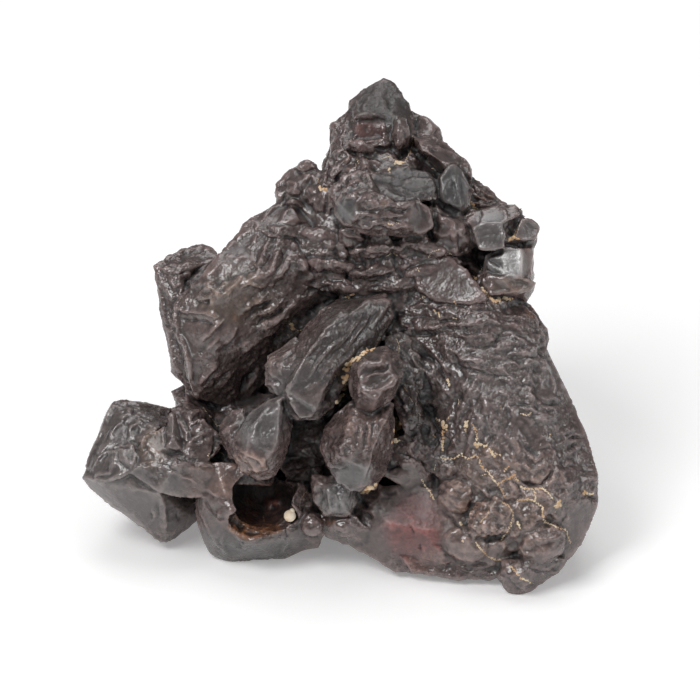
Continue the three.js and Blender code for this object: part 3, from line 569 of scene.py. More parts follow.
SLAB_BROWN = (0.104, 0.083, 0.080)
PAINTED_SHADE_BROWN = (0.044, 0.034, 0.032)
stain_and_painted_light(SLAB_BROWN, (505, 390), (66, 56), 0.7)
folds((460, 312), (62, 36), -6, 2.6, 0.44)
folds((425, 300), (34, 40), -10, 1.6, 0.20)
folds((500, 345), (50, 34), -4, 2.6, 0.42)
folds((520, 395), (42, 40), -25, 2.4, 0.42)
folds((478, 410), (40, 42), 60, 2.4, 0.46)
folds((525, 450), (38, 38), -50, 2.6, 0.44)
folds((560, 460), (28, 36), 20, 2.4, 0.30)
folds((430, 365), (30, 60), -58, 2.3, 0.42)
folds((430, 430), (26, 30), 70, 2.1, 0.36)
folds((418, 372), (26, 66), -62, 1.1, 0.32)
crystal(0.5, 6, (408, 428, 2.8), (420, 425, 3.0), (427, 436, 3.0), (421, 447, 3.4), (408, 447, 3.4))
crystal(0.5, 7, (424, 471, 3.0), (438, 469, 3.0), (443, 482, 3.2), (436, 491, 3.4), (425, 487, 3.2))
crystal(0.5, 5, (414, 264, 2.9), (430, 257, 3.1), (448, 258, 3.3), (462, 269, 3.8), (484, 298, 4.8),
        (462, 304, 5.0), (436, 302, 4.3), (416, 290, 3.5))
folds((570, 385), (20, 50), -65, 2.1, 0.10)
groove(1.3, 1.3, (402, 345), (414, 368), (426, 398), (434, 430), (436, 452))
groove(0.8, 0.9, (420, 342), (434, 362), (446, 386))
# The deep groove between the trunk and the slab is painted dark brown as painted shade.
stain_and_painted_light(PAINTED_SHADE_BROWN, (418, 396), (20, 58), 0.75, 18)
smooth_face((446, 280), (34, 20), -35, 0.85)
smooth_face((576, 395), (80, 11), -72, 0.8)
smooth_face((485, 390), (22, 14), 10, 0.35)
smooth_face((520, 440), (20, 24), 60, 0.4)
smooth_face((550, 380), (10, 24), -20, 0.8)
smooth_face((583, 540), (20, 34), 0, 0.8)
smooth_face((585, 470), (14, 26), 0, 0.5)
ridge(0.45, 0.40, (428, 257), (440, 256), (452, 259), (460, 266), (468, 277), (476, 288), (484, 299))
ridge(0.55, 0.35, (402, 326), (420, 329), (436, 328), (452, 325), (470, 326), (488, 322), (502, 324))
groove(0.6, 0.40, (404, 334), (420, 335), (436, 333), (450, 331))
ridge(0.35, 0.35, (410, 308), (424, 305), (440, 309), (452, 306))
groove(0.5, 0.40, (405, 316), (424, 316), (440, 321), (458, 320), (470, 318))
ridge(0.35, 0.35, (462, 300), (476, 305), (490, 303), (505, 306), (515, 316))
ridge(0.35, 0.35, (466, 311), (478, 318), (492, 314), (497, 324))
groove(0.5, 0.35, (458, 304), (472, 312), (486, 311), (498, 312))
ridge(0.40, 0.35, (454, 334), (466, 338), (480, 335), (492, 340), (478, 341))
groove(0.5, 0.35, (462, 346), (478, 346), (494, 344), (500, 334))
ridge(0.40, 0.35, (503, 336), (512, 334), (520, 340), (528, 338))
ridge(0.40, 0.40, (505, 344), (510, 352), (520, 354), (532, 352), (538, 346))
ridge(0.40, 0.35, (508, 360), (518, 366), (528, 364), (538, 362))
groove(0.5, 0.35, (504, 356), (516, 359), (530, 358), (540, 354))
ridge(0.35, 0.35, (520, 318), (526, 328), (532, 338), (540, 346))
ridge(0.35, 0.30, (524, 306), (532, 317), (540, 330), (545, 345), (548, 358))
ridge(0.40, 0.40, (440, 344), (450, 350), (462, 358), (476, 362), (490, 362))
groove(0.5, 0.40, (450, 362), (466, 368), (480, 372), (496, 376), (512, 374))
ridge(0.40, 0.40, (500, 368), (508, 376), (520, 382), (532, 380))
ridge(0.35, 0.35, (470, 384), (480, 392), (484, 402))
ridge(0.35, 0.35, (490, 398), (498, 392), (506, 396), (512, 406))
ridge(0.40, 0.35, (504, 402), (512, 412), (514, 420))
ridge(0.35, 0.30, (548, 372), (552, 384), (554, 394))
ridge(0.45, 0.35, (540, 402), (548, 399), (556, 398))
ridge(0.40, 0.35, (541, 408), (550, 409), (556, 413))
groove(0.5, 0.35, (540, 405), (552, 404), (560, 402), (564, 406))
groove(0.45, 0.30, (460, 398), (466, 402), (471, 407))
ridge(0.40, 0.40, (526, 428), (532, 421), (540, 418), (548, 420))
ridge(0.40, 0.35, (520, 408), (530, 410), (536, 414))
ridge(0.35, 0.35, (500, 432), (510, 440), (518, 448), (514, 456))
ridge(0.45, 0.40, (540, 446), (547, 444), (552, 450), (556, 456))
ridge(0.40, 0.40, (558, 444), (566, 440), (574, 442), (580, 440))
ridge(0.40, 0.35, (562, 456), (572, 450), (580, 443))
groove(0.6, 0.35, (566, 438), (576, 437), (585, 438))
ridge(0.35, 0.40, (512, 462), (522, 464), (532, 470), (540, 464), (548, 454))
ridge(0.45, 0.45, (524, 455), (534, 460), (544, 454))
groove(0.9, 0.5, (516, 478), (528, 483), (540, 482), (548, 476), (553, 466))
ridge(0.35, 0.35, (546, 488), (552, 476), (556, 464))
ridge(0.40, 0.35, (585, 480), (592, 478), (597, 484))
ridge(0.40, 0.35, (584, 490), (592, 491), (597, 498))
groove(0.6, 0.35, (586, 495), (594, 496), (599, 501))
ridge(0.40, 0.60, (426, 430), (430, 424), (430, 436))
ridge(0.40, 0.40, (418, 386), (424, 396), (428, 406))
ridge(0.40, 0.40, (404, 352), (414, 362), (426, 372), (434, 382))
ridge(0.40, 0.40, (420, 340), (430, 350), (440, 362), (450, 374))
groove(0.7, 0.50, (410, 342), (424, 356), (436, 370), (446, 382))
groove(0.7, 0.50, (402, 366), (412, 378), (420, 392), (428, 410))
groove(0.5, 0.40, (440, 430), (446, 440), (444, 452))
ridge(0.35, 0.45, (450, 436), (456, 444), (452, 450))
ridge(0.35, 0.45, (466, 438), (470, 446), (464, 450))
ridge(0.40, 0.50, (484, 446), (488, 454), (482, 456))
ridge(0.40, 0.40, (406, 446), (418, 444), (428, 448), (424, 456))
groove(0.8, 0.50, (398, 452), (410, 456), (424, 460), (432, 470))
chalk(0.31, (481, 288), (486, 293), (491, 299))
chalk(0.38, (491, 299), (496, 302), (500, 299), (506, 298))
chalk(0.25, (505, 299), (512, 300))
chalk(0.25, (453, 302), (456, 304))
chalk(0.16, (433, 310), (438, 313), (440, 317))
chalk(0.14, (452, 318), (457, 319))
chalk(0.14, (420, 298), (425, 296))
chalk(0.29, (474, 277), (476, 280))
chalk(0.12, (480, 272), (483, 268))
chalk(0.12, (419, 272), (417, 268))
chalk(0.27, (447, 380), (449, 384))
chalk(0.12, (458, 399), (458, 404))
chalk(0.14, (519, 413), (525, 415), (530, 412))
chalk(0.09, (500, 405), (500, 409))
chalk(0.14, (549, 433), (548, 437))
chalk(0.16, (435, 418), (440, 421))
chalk(0.40, (442, 422), (445, 428))
chalk(0.25, (443, 430), (442, 440), (442, 449))
chalk(0.12, (450, 415), (446, 420))
chalk(0.38, (466, 421), (465, 427))
chalk(0.16, (464, 428), (465, 431))
chalk(0.12, (432, 434), (435, 437))
chalk(0.18, (472, 425), (476, 433), (475, 440))
chalk(0.31, (473, 443), (477, 444), (486, 445))
chalk(0.18, (488, 447), (490, 452))
chalk(0.27, (490, 451), (493, 456))
chalk(0.14, (494, 452), (500, 455))
chalk(0.16, (440, 457), (450, 459), (457, 456), (461, 453))
chalk(0.16, (461, 455), (468, 458), (474, 455), (478, 457))
chalk(0.18, (478, 458), (480, 465), (486, 470))
chalk(0.16, (486, 470), (491, 477), (497, 484), (501, 491), (504, 496))
chalk(0.09, (480, 475), (486, 473))
chalk(0.19, (497, 483), (503, 479), (512, 475))
chalk(0.18, (512, 472), (517, 480))
chalk(0.16, (503, 470), (508, 465))
chalk(0.09, (435, 464), (434, 470))


# The right foot
#
# Low lumps and rings make up the broad foot on the right. A smooth patch of it is red with iron,
# and the toe that it stands on is marked with rings.

crystal(0.5, 2.4, (400, 556, 3.4), (438, 554, 4.0), (500, 554, 4.6), (503, 576, 4.2), (490, 580, 3.8),
        (447, 578, 3.4), (410, 572, 3.2))
folds((470, 480), (26, 20), 30, 2.8, 0.12)
folds((495, 505), (62, 48), -30, 1.7, 0.34)
folds((545, 545), (30, 20), 15, 2.6, 0.14)
folds((525, 512), (24, 20), 60, 2.6, 0.17)
smooth_face((420, 530), (40, 40), 0, 0.6)
smooth_face((375, 535), (26, 26), 0, 0.7)
smooth_face((475, 552), (36, 14), 0, 0.85)
smooth_face((400, 480), (26, 16), 0, 0.8)
ridge(0.45, 0.60, (436, 466), (444, 464), (450, 468), (448, 476))
groove(0.4, 0.3, (441, 478), (452, 476), (457, 468))
ridge(0.35, 0.70, (448, 492), (458, 486), (468, 490), (466, 500))
ridge(0.40, 0.40, (476, 484), (486, 494), (496, 500), (502, 498))
ridge(0.40, 0.50, (488, 500), (500, 502), (508, 512), (505, 522))
ridge(0.35, 0.30, (480, 519), (487, 512), (497, 513), (502, 518))
groove(0.5, 0.35, (478, 524), (482, 534), (494, 538), (504, 530))
ridge(0.45, 0.80, (488, 526), (496, 526))
ridge(0.45, 0.70, (504, 488), (512, 486), (514, 494), (507, 497))
groove(0.5, 0.35, (500, 486), (508, 480), (517, 484), (519, 494), (512, 501), (503, 499))
ridge(0.40, 0.60, (528, 508), (534, 507))
groove(0.4, 0.35, (520, 508), (526, 501), (536, 502), (541, 512))
ridge(0.40, 0.50, (540, 494), (547, 498), (549, 506))
ridge(0.40, 0.40, (454, 536), (460, 532), (452, 533), (447, 538))
groove(0.4, 0.35, (444, 512), (452, 518), (460, 526), (464, 536))
ridge(0.35, 0.50, (468, 528), (474, 534), (470, 540))
ridge(0.40, 0.40, (496, 540), (504, 543), (502, 550))
groove(0.35, 0.30, (476, 536), (486, 540), (496, 536))
ridge(0.30, 0.50, (444, 545), (452, 556), (466, 560), (480, 560))
groove(0.5, 0.40, (440, 542), (446, 554), (458, 562))
groove(0.5, 0.40, (506, 556), (514, 554), (524, 556))
ridge(0.35, 0.40, (506, 566), (500, 574), (506, 584), (514, 590))
groove(0.25, 0.30, (512, 566), (508, 576), (514, 586), (524, 592))
ridge(0.25, 0.30, (496, 564), (484, 566), (470, 566))
groove(0.45, 0.30, (524, 560), (530, 566), (537, 570), (548, 571), (558, 568))
ridge(0.40, 0.40, (528, 532), (538, 538), (550, 538), (560, 534))
groove(0.4, 0.35, (516, 540), (520, 530), (518, 518))
ridge(0.40, 0.50, (556, 516), (564, 514), (566, 524))
groove(0.9, 0.6, (424, 462), (432, 474), (436, 488), (434, 500))
groove(1.0, 0.7, (386, 470), (396, 466), (404, 470))
ridge(0.30, 0.40, (390, 492), (396, 490), (400, 496))
groove(0.35, 0.25, (408, 524), (411, 528), (413, 535))
groove(0.35, 0.35, (419, 542), (420, 550))
DEEP_RED = (0.115, 0.038, 0.034)
FOOT_BROWN = (0.152, 0.106, 0.091)
BLOOD_RED = (0.06, 0.012, 0.012)
stain_and_painted_light(RED, (418, 534), (24, 32), 0.95)
stain_and_painted_light(RED, (416, 520), (20, 20), 0.5)
stain_and_painted_light(RED, (402, 530), (18, 22), 0.6)
dull_face((414, 512), (44, 30), 0, 1.0)
stain_and_painted_light(DEEP_RED, (418, 514), (27, 20), 0.7)
stain_and_painted_light(PINK, (435, 560), (30, 10), 0.5)
stain_and_painted_light(FOOT_BROWN, (500, 500), (62, 56), 0.8)
stain_and_painted_light(RUST, (470, 508), (16, 8), 0.25)
stain_and_painted_light(BLOOD_RED, (448, 560), (7, 3), 0.6)
chalk(0.16, (421, 478), (424, 484), (430, 492), (434, 499))
chalk(0.12, (478, 521), (484, 516), (488, 509))
chalk(0.25, (459, 521), (461, 524))
chalk(0.16, (461, 538), (463, 541))
chalk(0.09, (516, 498), (520, 498))
chalk(0.16, (501, 501), (508, 505), (512, 512), (511, 518))
chalk(0.16, (511, 519), (508, 527), (503, 534), (500, 539))
chalk(0.16, (475, 541), (481, 549), (488, 556), (495, 559), (500, 558))
chalk(0.18, (508, 565), (514, 569), (519, 576), (526, 579), (532, 583))
chalk(0.18, (519, 486), (526, 488), (532, 488))
chalk(0.18, (533, 489), (534, 497), (533, 501))
chalk(0.18, (533, 488), (540, 487), (546, 491), (551, 498))
chalk(0.16, (516, 499), (526, 498), (533, 499))
chalk(0.18, (534, 501), (541, 506), (541, 514))
chalk(0.25, (541, 514), (543, 521), (548, 522))
chalk(0.19, (548, 522), (556, 526), (565, 529))
chalk(0.16, (566, 530), (567, 536), (570, 543))
chalk(0.36, (554, 506), (557, 503), (559, 500))
chalk(0.14, (553, 510), (554, 512))
chalk(0.29, (581, 494), (585, 492), (592, 494))
chalk(0.29, (516, 520), (518, 526))


# The point
#
# The crystal at the top is a blunt pyramid. A reddish hollow with a bright brow is worn into it,
# and its left side is rough with small nubs.

crystal(0.25, 3, (356, 121, -2.9), (383, 120, -2.9), (384, 139, -3.1), (358, 141, -3.1))
crystal(0.9, 4, (376, 88, -7.8), (381, 80, -8.4), (387, 77, -8.6), (393, 79, -8.6), (399, 88, -8.0),
        (402, 98, -7.2), (388, 101, -6.6), (375, 97, -7.0))
folds((378, 98), (30, 24), 60, 2.2, 0.14)
folds((338, 150), (18, 36), 65, 1.5, 0.26)
folds((345, 172), (14, 16), 80, 1.4, 0.22)
folds((388, 165), (26, 12), 10, 1.6, 0.20)
folds((330, 205), (9, 16), 92, 1.1, 0.17)
smooth_face((370, 98), (20, 16), 0, 0.35)
smooth_face((370, 129), (15, 12), 0, 0.8)
smooth_face((404, 125), (10, 24), 10, 0.7)
ridge(0.40, 0.45, (394, 86), (401, 96), (408, 106), (413, 117), (415, 130), (411, 140))
ridge(0.25, 0.35, (372, 90), (366, 104), (362, 112))
ridge(0.40, 0.35, (352, 104), (356, 101), (357, 107))
ridge(0.45, 0.30, (352, 119), (359, 116), (366, 114), (374, 114), (384, 118))
groove(0.4, 0.30, (356, 122), (366, 120), (376, 120), (382, 122))
groove(0.3, 0.25, (367, 124), (367, 132))
groove(0.6, 0.40, (360, 138), (366, 141), (372, 142), (380, 141))
ridge(0.40, 0.50, (384, 120), (383, 130), (381, 136))
ridge(0.45, 0.35, (388, 124), (390, 131))
ridge(0.50, 0.30, (383, 138), (388, 137))
ridge(0.50, 0.30, (391, 138), (393, 139))
groove(0.9, 0.40, (390, 133), (392, 142), (391, 150))
ridge(0.55, 0.70, (397, 114), (399, 128), (399, 142))
ridge(0.50, 0.50, (397, 144), (401, 145))
groove(0.5, 0.35, (387, 97), (391, 103), (392, 110))
groove(0.4, 0.30, (392, 112), (398, 112), (400, 110))
groove(0.35, 0.30, (404, 128), (408, 142), (404, 150))
groove(1.1, 0.70, (393, 150), (400, 154), (407, 150), (412, 144))
ridge(0.70, 0.50, (354, 142), (361, 145), (369, 149), (376, 153))
groove(0.8, 0.40, (347, 149), (353, 153), (357, 156))
groove(0.6, 0.35, (362, 154), (370, 158), (378, 158))
groove(0.7, 0.35, (336, 129), (338, 135))
groove(0.5, 0.30, (346, 129), (347, 134))
ridge(0.35, 0.35, (332, 128), (336, 124), (342, 126))
ridge(0.45, 0.30, (325, 182), (328, 170), (332, 163), (334, 170), (331, 182))
ridge(0.40, 0.30, (341, 184), (343, 174), (348, 169), (352, 174))
ridge(0.40, 0.30, (338, 170), (341, 163), (346, 160), (347, 167))
ridge(0.40, 0.30, (346, 150), (350, 156), (348, 162))
ridge(0.35, 0.30, (336, 156), (341, 151), (344, 144))
groove(0.5, 0.30, (336, 172), (339, 182), (343, 188))
ridge(0.35, 0.35, (362, 160), (368, 168), (374, 177))
ridge(0.35, 0.35, (360, 172), (367, 167), (376, 166))
groove(0.5, 0.35, (368, 160), (376, 168), (382, 176))
ridge(0.35, 0.25, (324, 192), (324, 204), (322, 214))
ridge(0.35, 0.25, (330, 192), (329, 204), (328, 214))
groove(0.4, 0.25, (327, 192), (327, 204), (325, 214))
dull_face((378, 100), (26, 24), 0, 1.0)
POINT_BLACK = (0.030, 0.024, 0.022)
stain_and_painted_light(POINT_BLACK, (384, 102), (34, 28), 0.9)
stain_and_painted_light(RED, (370, 129), (15, 12), 0.35)
stain_and_painted_light(PINK, (345, 165), (10, 14), 0.3)
chalk(0.14, (357, 158), (358, 163))
chalk(0.10, (356, 164), (355, 170))
chalk(0.09, (366, 158), (368, 160))
chalk(0.12, (412, 136), (413, 143), (411, 150))
chalk(0.12, (411, 150), (408, 156), (405, 162))
chalk(0.38, (404, 163), (398, 162), (395, 164))
chalk(0.25, (391, 168), (388, 171))
chalk(0.09, (382, 158), (390, 156), (394, 159))
chalk(0.12, (317, 178), (318, 182))
chalk(0.29, (319, 187), (323, 190), (327, 189))


# The small cluster beside the point
#
# A few rounded crystals fill the corner between the point and the left wing.


def block(place, size, out, turn, bevel=0.35):
    """A block grown into the core at a place on the face, out millimetres from the face's middle."""
    bpy.ops.object.select_all(action="DESELECT")
    lean = Matrix((FACE_RIGHT, FACE_UP, FACE_OUT)).transposed()
    facing = lean @ Euler([math.radians(angle) for angle in turn]).to_matrix()
    bpy.ops.mesh.primitive_cube_add(size=MM, location=on_face(*place, out), rotation=facing.to_euler())
    bpy.context.object.scale = size
    bpy.ops.object.transform_apply(location=False, rotation=False, scale=True)
    grow_onto_core(bevel)


block((303, 206), (4.2, 4.4, 4.0), -4.1, (20, 15, 30))
smooth_face((310, 180), (9, 9), 0, 0.7)
smooth_face((292, 176), (14, 8), -30, 0.6)
folds((312, 198), (12, 12), 60, 1.8, 0.21)
ridge(0.50, 0.50, (303, 166), (308, 162), (313, 166))
groove(0.5, 0.35, (303, 172), (310, 170), (316, 168))
ridge(0.45, 0.50, (281, 182), (290, 172), (300, 168), (308, 172))
ridge(0.50, 0.50, (304, 181), (309, 177), (315, 178), (315, 184))
groove(0.5, 0.35, (314, 172), (317, 182), (312, 188))
ridge(0.35, 0.25, (285, 182), (293, 183), (300, 186))
ridge(0.45, 0.45, (278, 188), (278, 196), (282, 200))
groove(0.6, 0.40, (284, 188), (283, 196), (286, 200))
groove(0.5, 0.30, (296, 196), (303, 193), (298, 187))
ridge(0.40, 0.40, (290, 192), (298, 191), (300, 198))
ridge(0.40, 0.40, (305, 196), (310, 190), (316, 194))
ridge(0.35, 0.40, (308, 204), (314, 200), (318, 206))


# The front lump
#
# A rounded block stands out below the point. Its left side shows a grey face inside bright rings,
# and ledges cross its middle.

crystal(0.5, 5, (340, 226, 4.6), (358, 229, 5.6), (366, 240, 4.2), (354, 248, 3.0), (338, 242, 2.6))
crystal(0.5, 5, (370, 232, 5.4), (388, 233, 5.6), (396, 243, 4.4), (384, 250, 3.6), (368, 246, 3.4))
crystal(0.5, 5, (398, 232, 5.6), (416, 234, 5.4), (430, 236, 4.8), (426, 247, 4.4), (404, 248, 4.2))
crystal(0.5, 4, (429, 204, 4.2), (438, 210, 3.8), (440, 228, 4.0), (434, 236, 4.2), (428, 222, 4.6))
crystal(0.2, 4, (404, 205, 8.0), (418, 201, 7.7), (429, 212, 7.1), (432, 228, 6.7), (420, 237, 6.9),
        (406, 231, 7.8))
smooth_face((346, 211), (12, 13), 30, 0.9)
smooth_face((420, 218), (15, 20), 0, 0.9)
folds((385, 215), (18, 12), -5, 1.8, 0.18)
ridge(0.65, 0.42, (332, 200), (335, 191), (342, 183), (351, 178), (358, 174))
ridge(0.65, 0.42, (358, 174), (363, 173), (368, 179), (371, 185), (374, 191))
ridge(0.55, 0.36, (338, 206), (343, 195), (351, 187), (359, 184), (366, 187))
ridge(0.45, 0.32, (346, 203), (352, 196), (360, 193))
groove(0.60, 0.32, (335, 202), (341, 190), (349, 182), (358, 179), (366, 181))
groove(0.50, 0.30, (341, 203), (348, 193), (356, 189), (364, 190))
ridge(0.40, 0.35, (334, 212), (337, 220), (344, 225), (351, 226))
ridge(0.35, 0.30, (358, 198), (350, 200), (343, 205))
ridge(0.45, 0.35, (360, 203), (366, 199), (376, 197), (386, 199), (390, 203))
ridge(0.45, 0.45, (363, 207), (370, 204), (376, 207), (371, 210))
groove(0.5, 0.30, (361, 205), (364, 212), (374, 213), (380, 209))
ridge(0.50, 0.40, (388, 205), (396, 208), (404, 208), (412, 205), (418, 203))
groove(0.6, 0.35, (384, 210), (394, 213), (403, 213), (410, 209))
ridge(0.40, 0.30, (384, 216), (392, 217), (402, 216))
groove(0.6, 0.35, (382, 220), (392, 221), (402, 221))
ridge(0.40, 0.30, (352, 226), (357, 218), (367, 215), (377, 217))
ridge(0.40, 0.30, (377, 217), (377, 224), (368, 229), (358, 230))
groove(0.45, 0.35, (360, 223), (368, 220), (373, 221))
ridge(0.40, 0.40, (380, 227), (392, 228), (402, 226), (412, 230))
ridge(0.40, 0.35, (420, 203), (427, 213), (432, 226), (430, 234))
groove(0.7, 0.50, (334, 216), (340, 227), (352, 233), (364, 237), (380, 236))
groove(0.5, 0.40, (380, 236), (398, 237), (414, 238), (428, 236), (435, 226), (434, 214))
groove(0.8, 0.50, (376, 184), (384, 192), (396, 198), (410, 200))
stain_and_painted_light(GREY, (346, 211), (11, 12), 0.95)
stain_and_painted_light(PINK, (383, 205), (5, 4), 0.8)
chalk(0.14, (387, 225), (392, 226))
chalk(0.06, (396, 224), (399, 225))


# The blocks and cubes at the upper right
#
# Here the crystals have stayed nearly whole: a wedge, a fluted grey block, a long block behind
# them, and three cubes one below the other with chalk caught between them.

crystal(0.3, 5, (427, 197, 2.8), (440, 202, 3.2), (456, 208, 3.2), (454, 216, 3.0), (440, 215, 2.9),
        (429, 209, 2.7))
crystal(0.35, 5, (395, 184, 3.2), (412, 176, 3.0), (432, 178, 3.4), (438, 188, 3.9), (435, 200, 4.4),
        (415, 199, 4.6), (399, 196, 4.3))
crystal(0.3, 5, (439, 178, 4.0), (449, 168, 3.4), (456, 165, 3.1), (457, 190, 4.7), (454, 207, 4.7),
        (442, 205, 4.2))
crystal(0.3, 5, (457, 167, 3.1), (462, 171, 2.8), (469, 196, 2.8), (468, 208, 2.9), (460, 214, 3.6),
        (454, 208, 4.3), (458, 188, 4.6))
crystal(0.15, 6, (473, 229, 4.7), (480, 222, 4.6), (502, 223, 4.9), (504, 248, 5.0), (478, 251, 4.9))
crystal(0.15, 5, (479, 209, 2.5), (515, 205, 2.1), (519, 216, 3.4), (504, 223, 4.7), (480, 223, 4.6))
crystal(0.15, 5, (462, 218, 2.4), (478, 210, 2.4), (480, 222, 4.5), (474, 230, 4.5))
crystal(0.15, 4, (511, 239, 3.6), (521, 220, 3.2), (533, 221, 2.4), (538, 229, 1.8), (535, 241, 2.4))
crystal(0.12, 5, (503, 248, 3.7), (522, 248, 4.1), (521, 278, 4.7), (501, 278, 4.3))
crystal(0.15, 4, (521, 249, 4.0), (533, 246, 1.9), (531, 276, 2.0), (520, 278, 4.5))
crystal(0.2, 5, (487, 259, 3.4), (504, 254, 3.8), (503, 278, 4.2), (484, 273, 3.7))
crystal(0.2, 5, (484, 271, 3.7), (502, 278, 4.8), (521, 278, 4.8), (535, 283, 3.0), (531, 291, 3.2),
        (516, 295, 4.4), (490, 296, 4.3), (481, 283, 3.5))
block((508, 254), (6.2, 10.8, 7.4), -3.9, (8, -6, 10), 1.0)
smooth_face((412, 182), (28, 16), 10, 0.35)
smooth_face((452, 190), (18, 28), 0, 0.95)
smooth_face((448, 155), (24, 10), 30, 0.85)
smooth_face((430, 128), (18, 14), 40, 0.8)
smooth_face((490, 232), (20, 24), 0, 0.97)
smooth_face((526, 230), (14, 14), 0, 0.97)
smooth_face((508, 264), (28, 18), 0, 0.97)
smooth_face((508, 288), (30, 12), 0, 0.9)
folds((490, 192), (22, 13), -30, 1.2, 0.20)
folds((426, 160), (14, 10), 0, 1.4, 0.20)
ridge(0.40, 0.30, (393, 187), (404, 192), (418, 195), (432, 198))
ridge(0.30, 0.25, (398, 197), (410, 199), (424, 197))
groove(0.35, 0.25, (395, 192), (408, 196), (424, 199))
groove(0.45, 0.30, (386, 181), (394, 184), (398, 189))
ridge(0.30, 0.35, (398, 170), (412, 167), (426, 170))
groove(0.35, 0.30, (434, 178), (437, 190), (434, 199))
ridge(0.40, 0.30, (412, 135), (420, 134), (430, 137), (440, 142), (450, 147), (462, 154), (469, 160))
ridge(0.35, 0.50, (424, 146), (438, 150), (452, 155), (464, 161))
groove(1.0, 0.60, (415, 138), (417, 148), (419, 156))
groove(0.8, 0.50, (415, 116), (416, 126), (417, 133))
ridge(0.30, 0.40, (418, 116), (428, 120), (438, 128), (443, 137))
groove(0.30, 0.30, (434, 133), (438, 128))
ridge(0.45, 0.50, (440, 174), (446, 169), (456, 164), (462, 166))
groove(0.40, 0.60, (452, 178), (453, 190), (454, 203))
groove(0.25, 0.50, (461, 182), (463, 196))
ridge(0.35, 0.60, (444, 180), (444, 194), (447, 202))
groove(0.9, 0.50, (438, 203), (446, 208), (454, 214), (462, 214))
ridge(0.35, 0.40, (464, 164), (469, 172), (471, 180))
groove(0.3, 0.25, (464, 172), (465, 178))
ridge(0.40, 0.25, (463, 178), (467, 188), (475, 195), (486, 200), (500, 204))
ridge(0.40, 0.25, (474, 184), (482, 190), (493, 196), (505, 203))
ridge(0.35, 0.25, (480, 181), (488, 188), (499, 196), (508, 203))
ridge(0.30, 0.22, (472, 200), (482, 206), (495, 207))
groove(0.40, 0.22, (468, 182), (474, 190), (484, 195), (496, 201))
groove(0.40, 0.22, (478, 185), (486, 191), (498, 198))
ridge(0.40, 0.30, (463, 217), (470, 212), (480, 208), (492, 206), (505, 204), (515, 205))
ridge(0.35, 0.35, (515, 205), (522, 211), (527, 218))
groove(0.35, 0.22, (480, 209), (480, 216), (478, 224))
ridge(0.25, 0.30, (504, 208), (505, 218), (504, 224))
ridge(0.30, 0.30, (474, 226), (473, 236), (476, 245))
ridge(0.35, 0.35, (476, 246), (484, 250), (494, 250), (503, 248))
groove(0.15, 0.35, (480, 236), (490, 234), (498, 236))
ridge(0.30, 0.30, (500, 226), (503, 234), (501, 244))
groove(0.8, 0.45, (504, 230), (510, 227), (513, 231), (507, 236))
ridge(0.40, 0.30, (518, 222), (522, 219), (530, 222), (537, 229), (535, 237))
ridge(0.30, 0.25, (516, 239), (524, 240), (533, 239))
groove(0.7, 0.45, (504, 245), (514, 247), (524, 246), (532, 242))
ridge(0.30, 0.25, (503, 249), (512, 249), (521, 249))
ridge(0.20, 0.28, (521, 249), (520, 262), (520, 276))
groove(0.4, 0.30, (486, 258), (494, 262), (502, 268))
ridge(0.30, 0.30, (500, 277), (510, 277), (520, 277))
groove(0.5, 0.35, (484, 268), (490, 272), (498, 274))
ridge(0.35, 0.35, (521, 279), (528, 281), (533, 285))
ridge(0.35, 0.35, (490, 292), (502, 294), (515, 292), (526, 288))
groove(0.7, 0.45, (490, 298), (502, 298), (516, 297))
groove(1.2, 0.60, (470, 248), (476, 258), (482, 268), (484, 280))
ridge(0.40, 0.45, (463, 262), (470, 266), (476, 270))
groove(1.0, 0.50, (462, 250), (466, 258), (472, 262))
dull_face((452, 190), (18, 28), 0, 0.5)
dull_face((408, 182), (36, 18), 0, 0.8)
DARK_GREY = (0.038, 0.035, 0.035)
WEDGE_BLACK = (0.030, 0.025, 0.024)
PAINTED_HIGHLIGHT_GREY = (0.25, 0.24, 0.238)
stain_and_painted_light(DARK_GREY, (452, 190), (17, 26), 0.95)
stain_and_painted_light(WEDGE_BLACK, (408, 184), (36, 20), 0.9)
stain_and_painted_light(GREY, (490, 232), (18, 22), 0.75)
# The front face of the lowest cube is painted a much paler grey as a painted highlight.
stain_and_painted_light(PAINTED_HIGHLIGHT_GREY, (512, 263), (12, 15), 0.95)
stain_and_painted_light(GREY, (493, 263), (9, 12), 0.9)
stain_and_painted_light(PINK, (527, 264), (6, 16), 0.4)
stain_and_painted_light(GREY, (526, 230), (10, 10), 0.6)
stain_and_painted_light(WARM, (510, 286), (24, 8), 0.7)
stain_and_painted_light(RUST, (532, 312), (6, 8), 0.4)
stain_and_painted_light(RUST, (480, 196), (12, 8), 0.25)
chalk(0.10, (428, 160), (430, 162))
chalk(0.13, (432, 168), (434, 168))
chalk(0.07, (433, 174), (434, 175))
chalk(0.25, (472, 202), (474, 206))
chalk(0.14, (473, 207), (478, 208))
chalk(0.12, (519, 225), (516, 231), (512, 237))
chalk(0.34, (508, 241), (511, 239), (517, 239))
chalk(0.09, (490, 282), (491, 282))


# Grown together
#
# All the crystals are one body of iron oxide. The joins between them have no gaps, and the wind has
# rubbed every edge round.

VOXEL = 0.23 * MM
ROUNDING = 0.5
ROUNDING_PASSES = 2

add_and_apply("REMESH", mode="VOXEL", voxel_size=VOXEL)
add_and_apply("SMOOTH", factor=ROUNDING, iterations=ROUNDING_PASSES)

# Bubbles closed inside the body are no part of it: only what is linked to its highest point stays.
bpy.ops.object.mode_set(mode="EDIT")
bpy.ops.mesh.select_mode(type="VERT")
bpy.ops.mesh.select_all(action="DESELECT")
bpy.ops.object.mode_set(mode="OBJECT")
max(core.data.vertices, key=lambda vertex: vertex.co.z).select = True
bpy.ops.object.mode_set(mode="EDIT")
bpy.ops.mesh.select_linked()
bpy.ops.mesh.select_all(action="INVERT")
bpy.ops.mesh.delete(type="VERT")
bpy.ops.object.mode_set(mode="OBJECT")


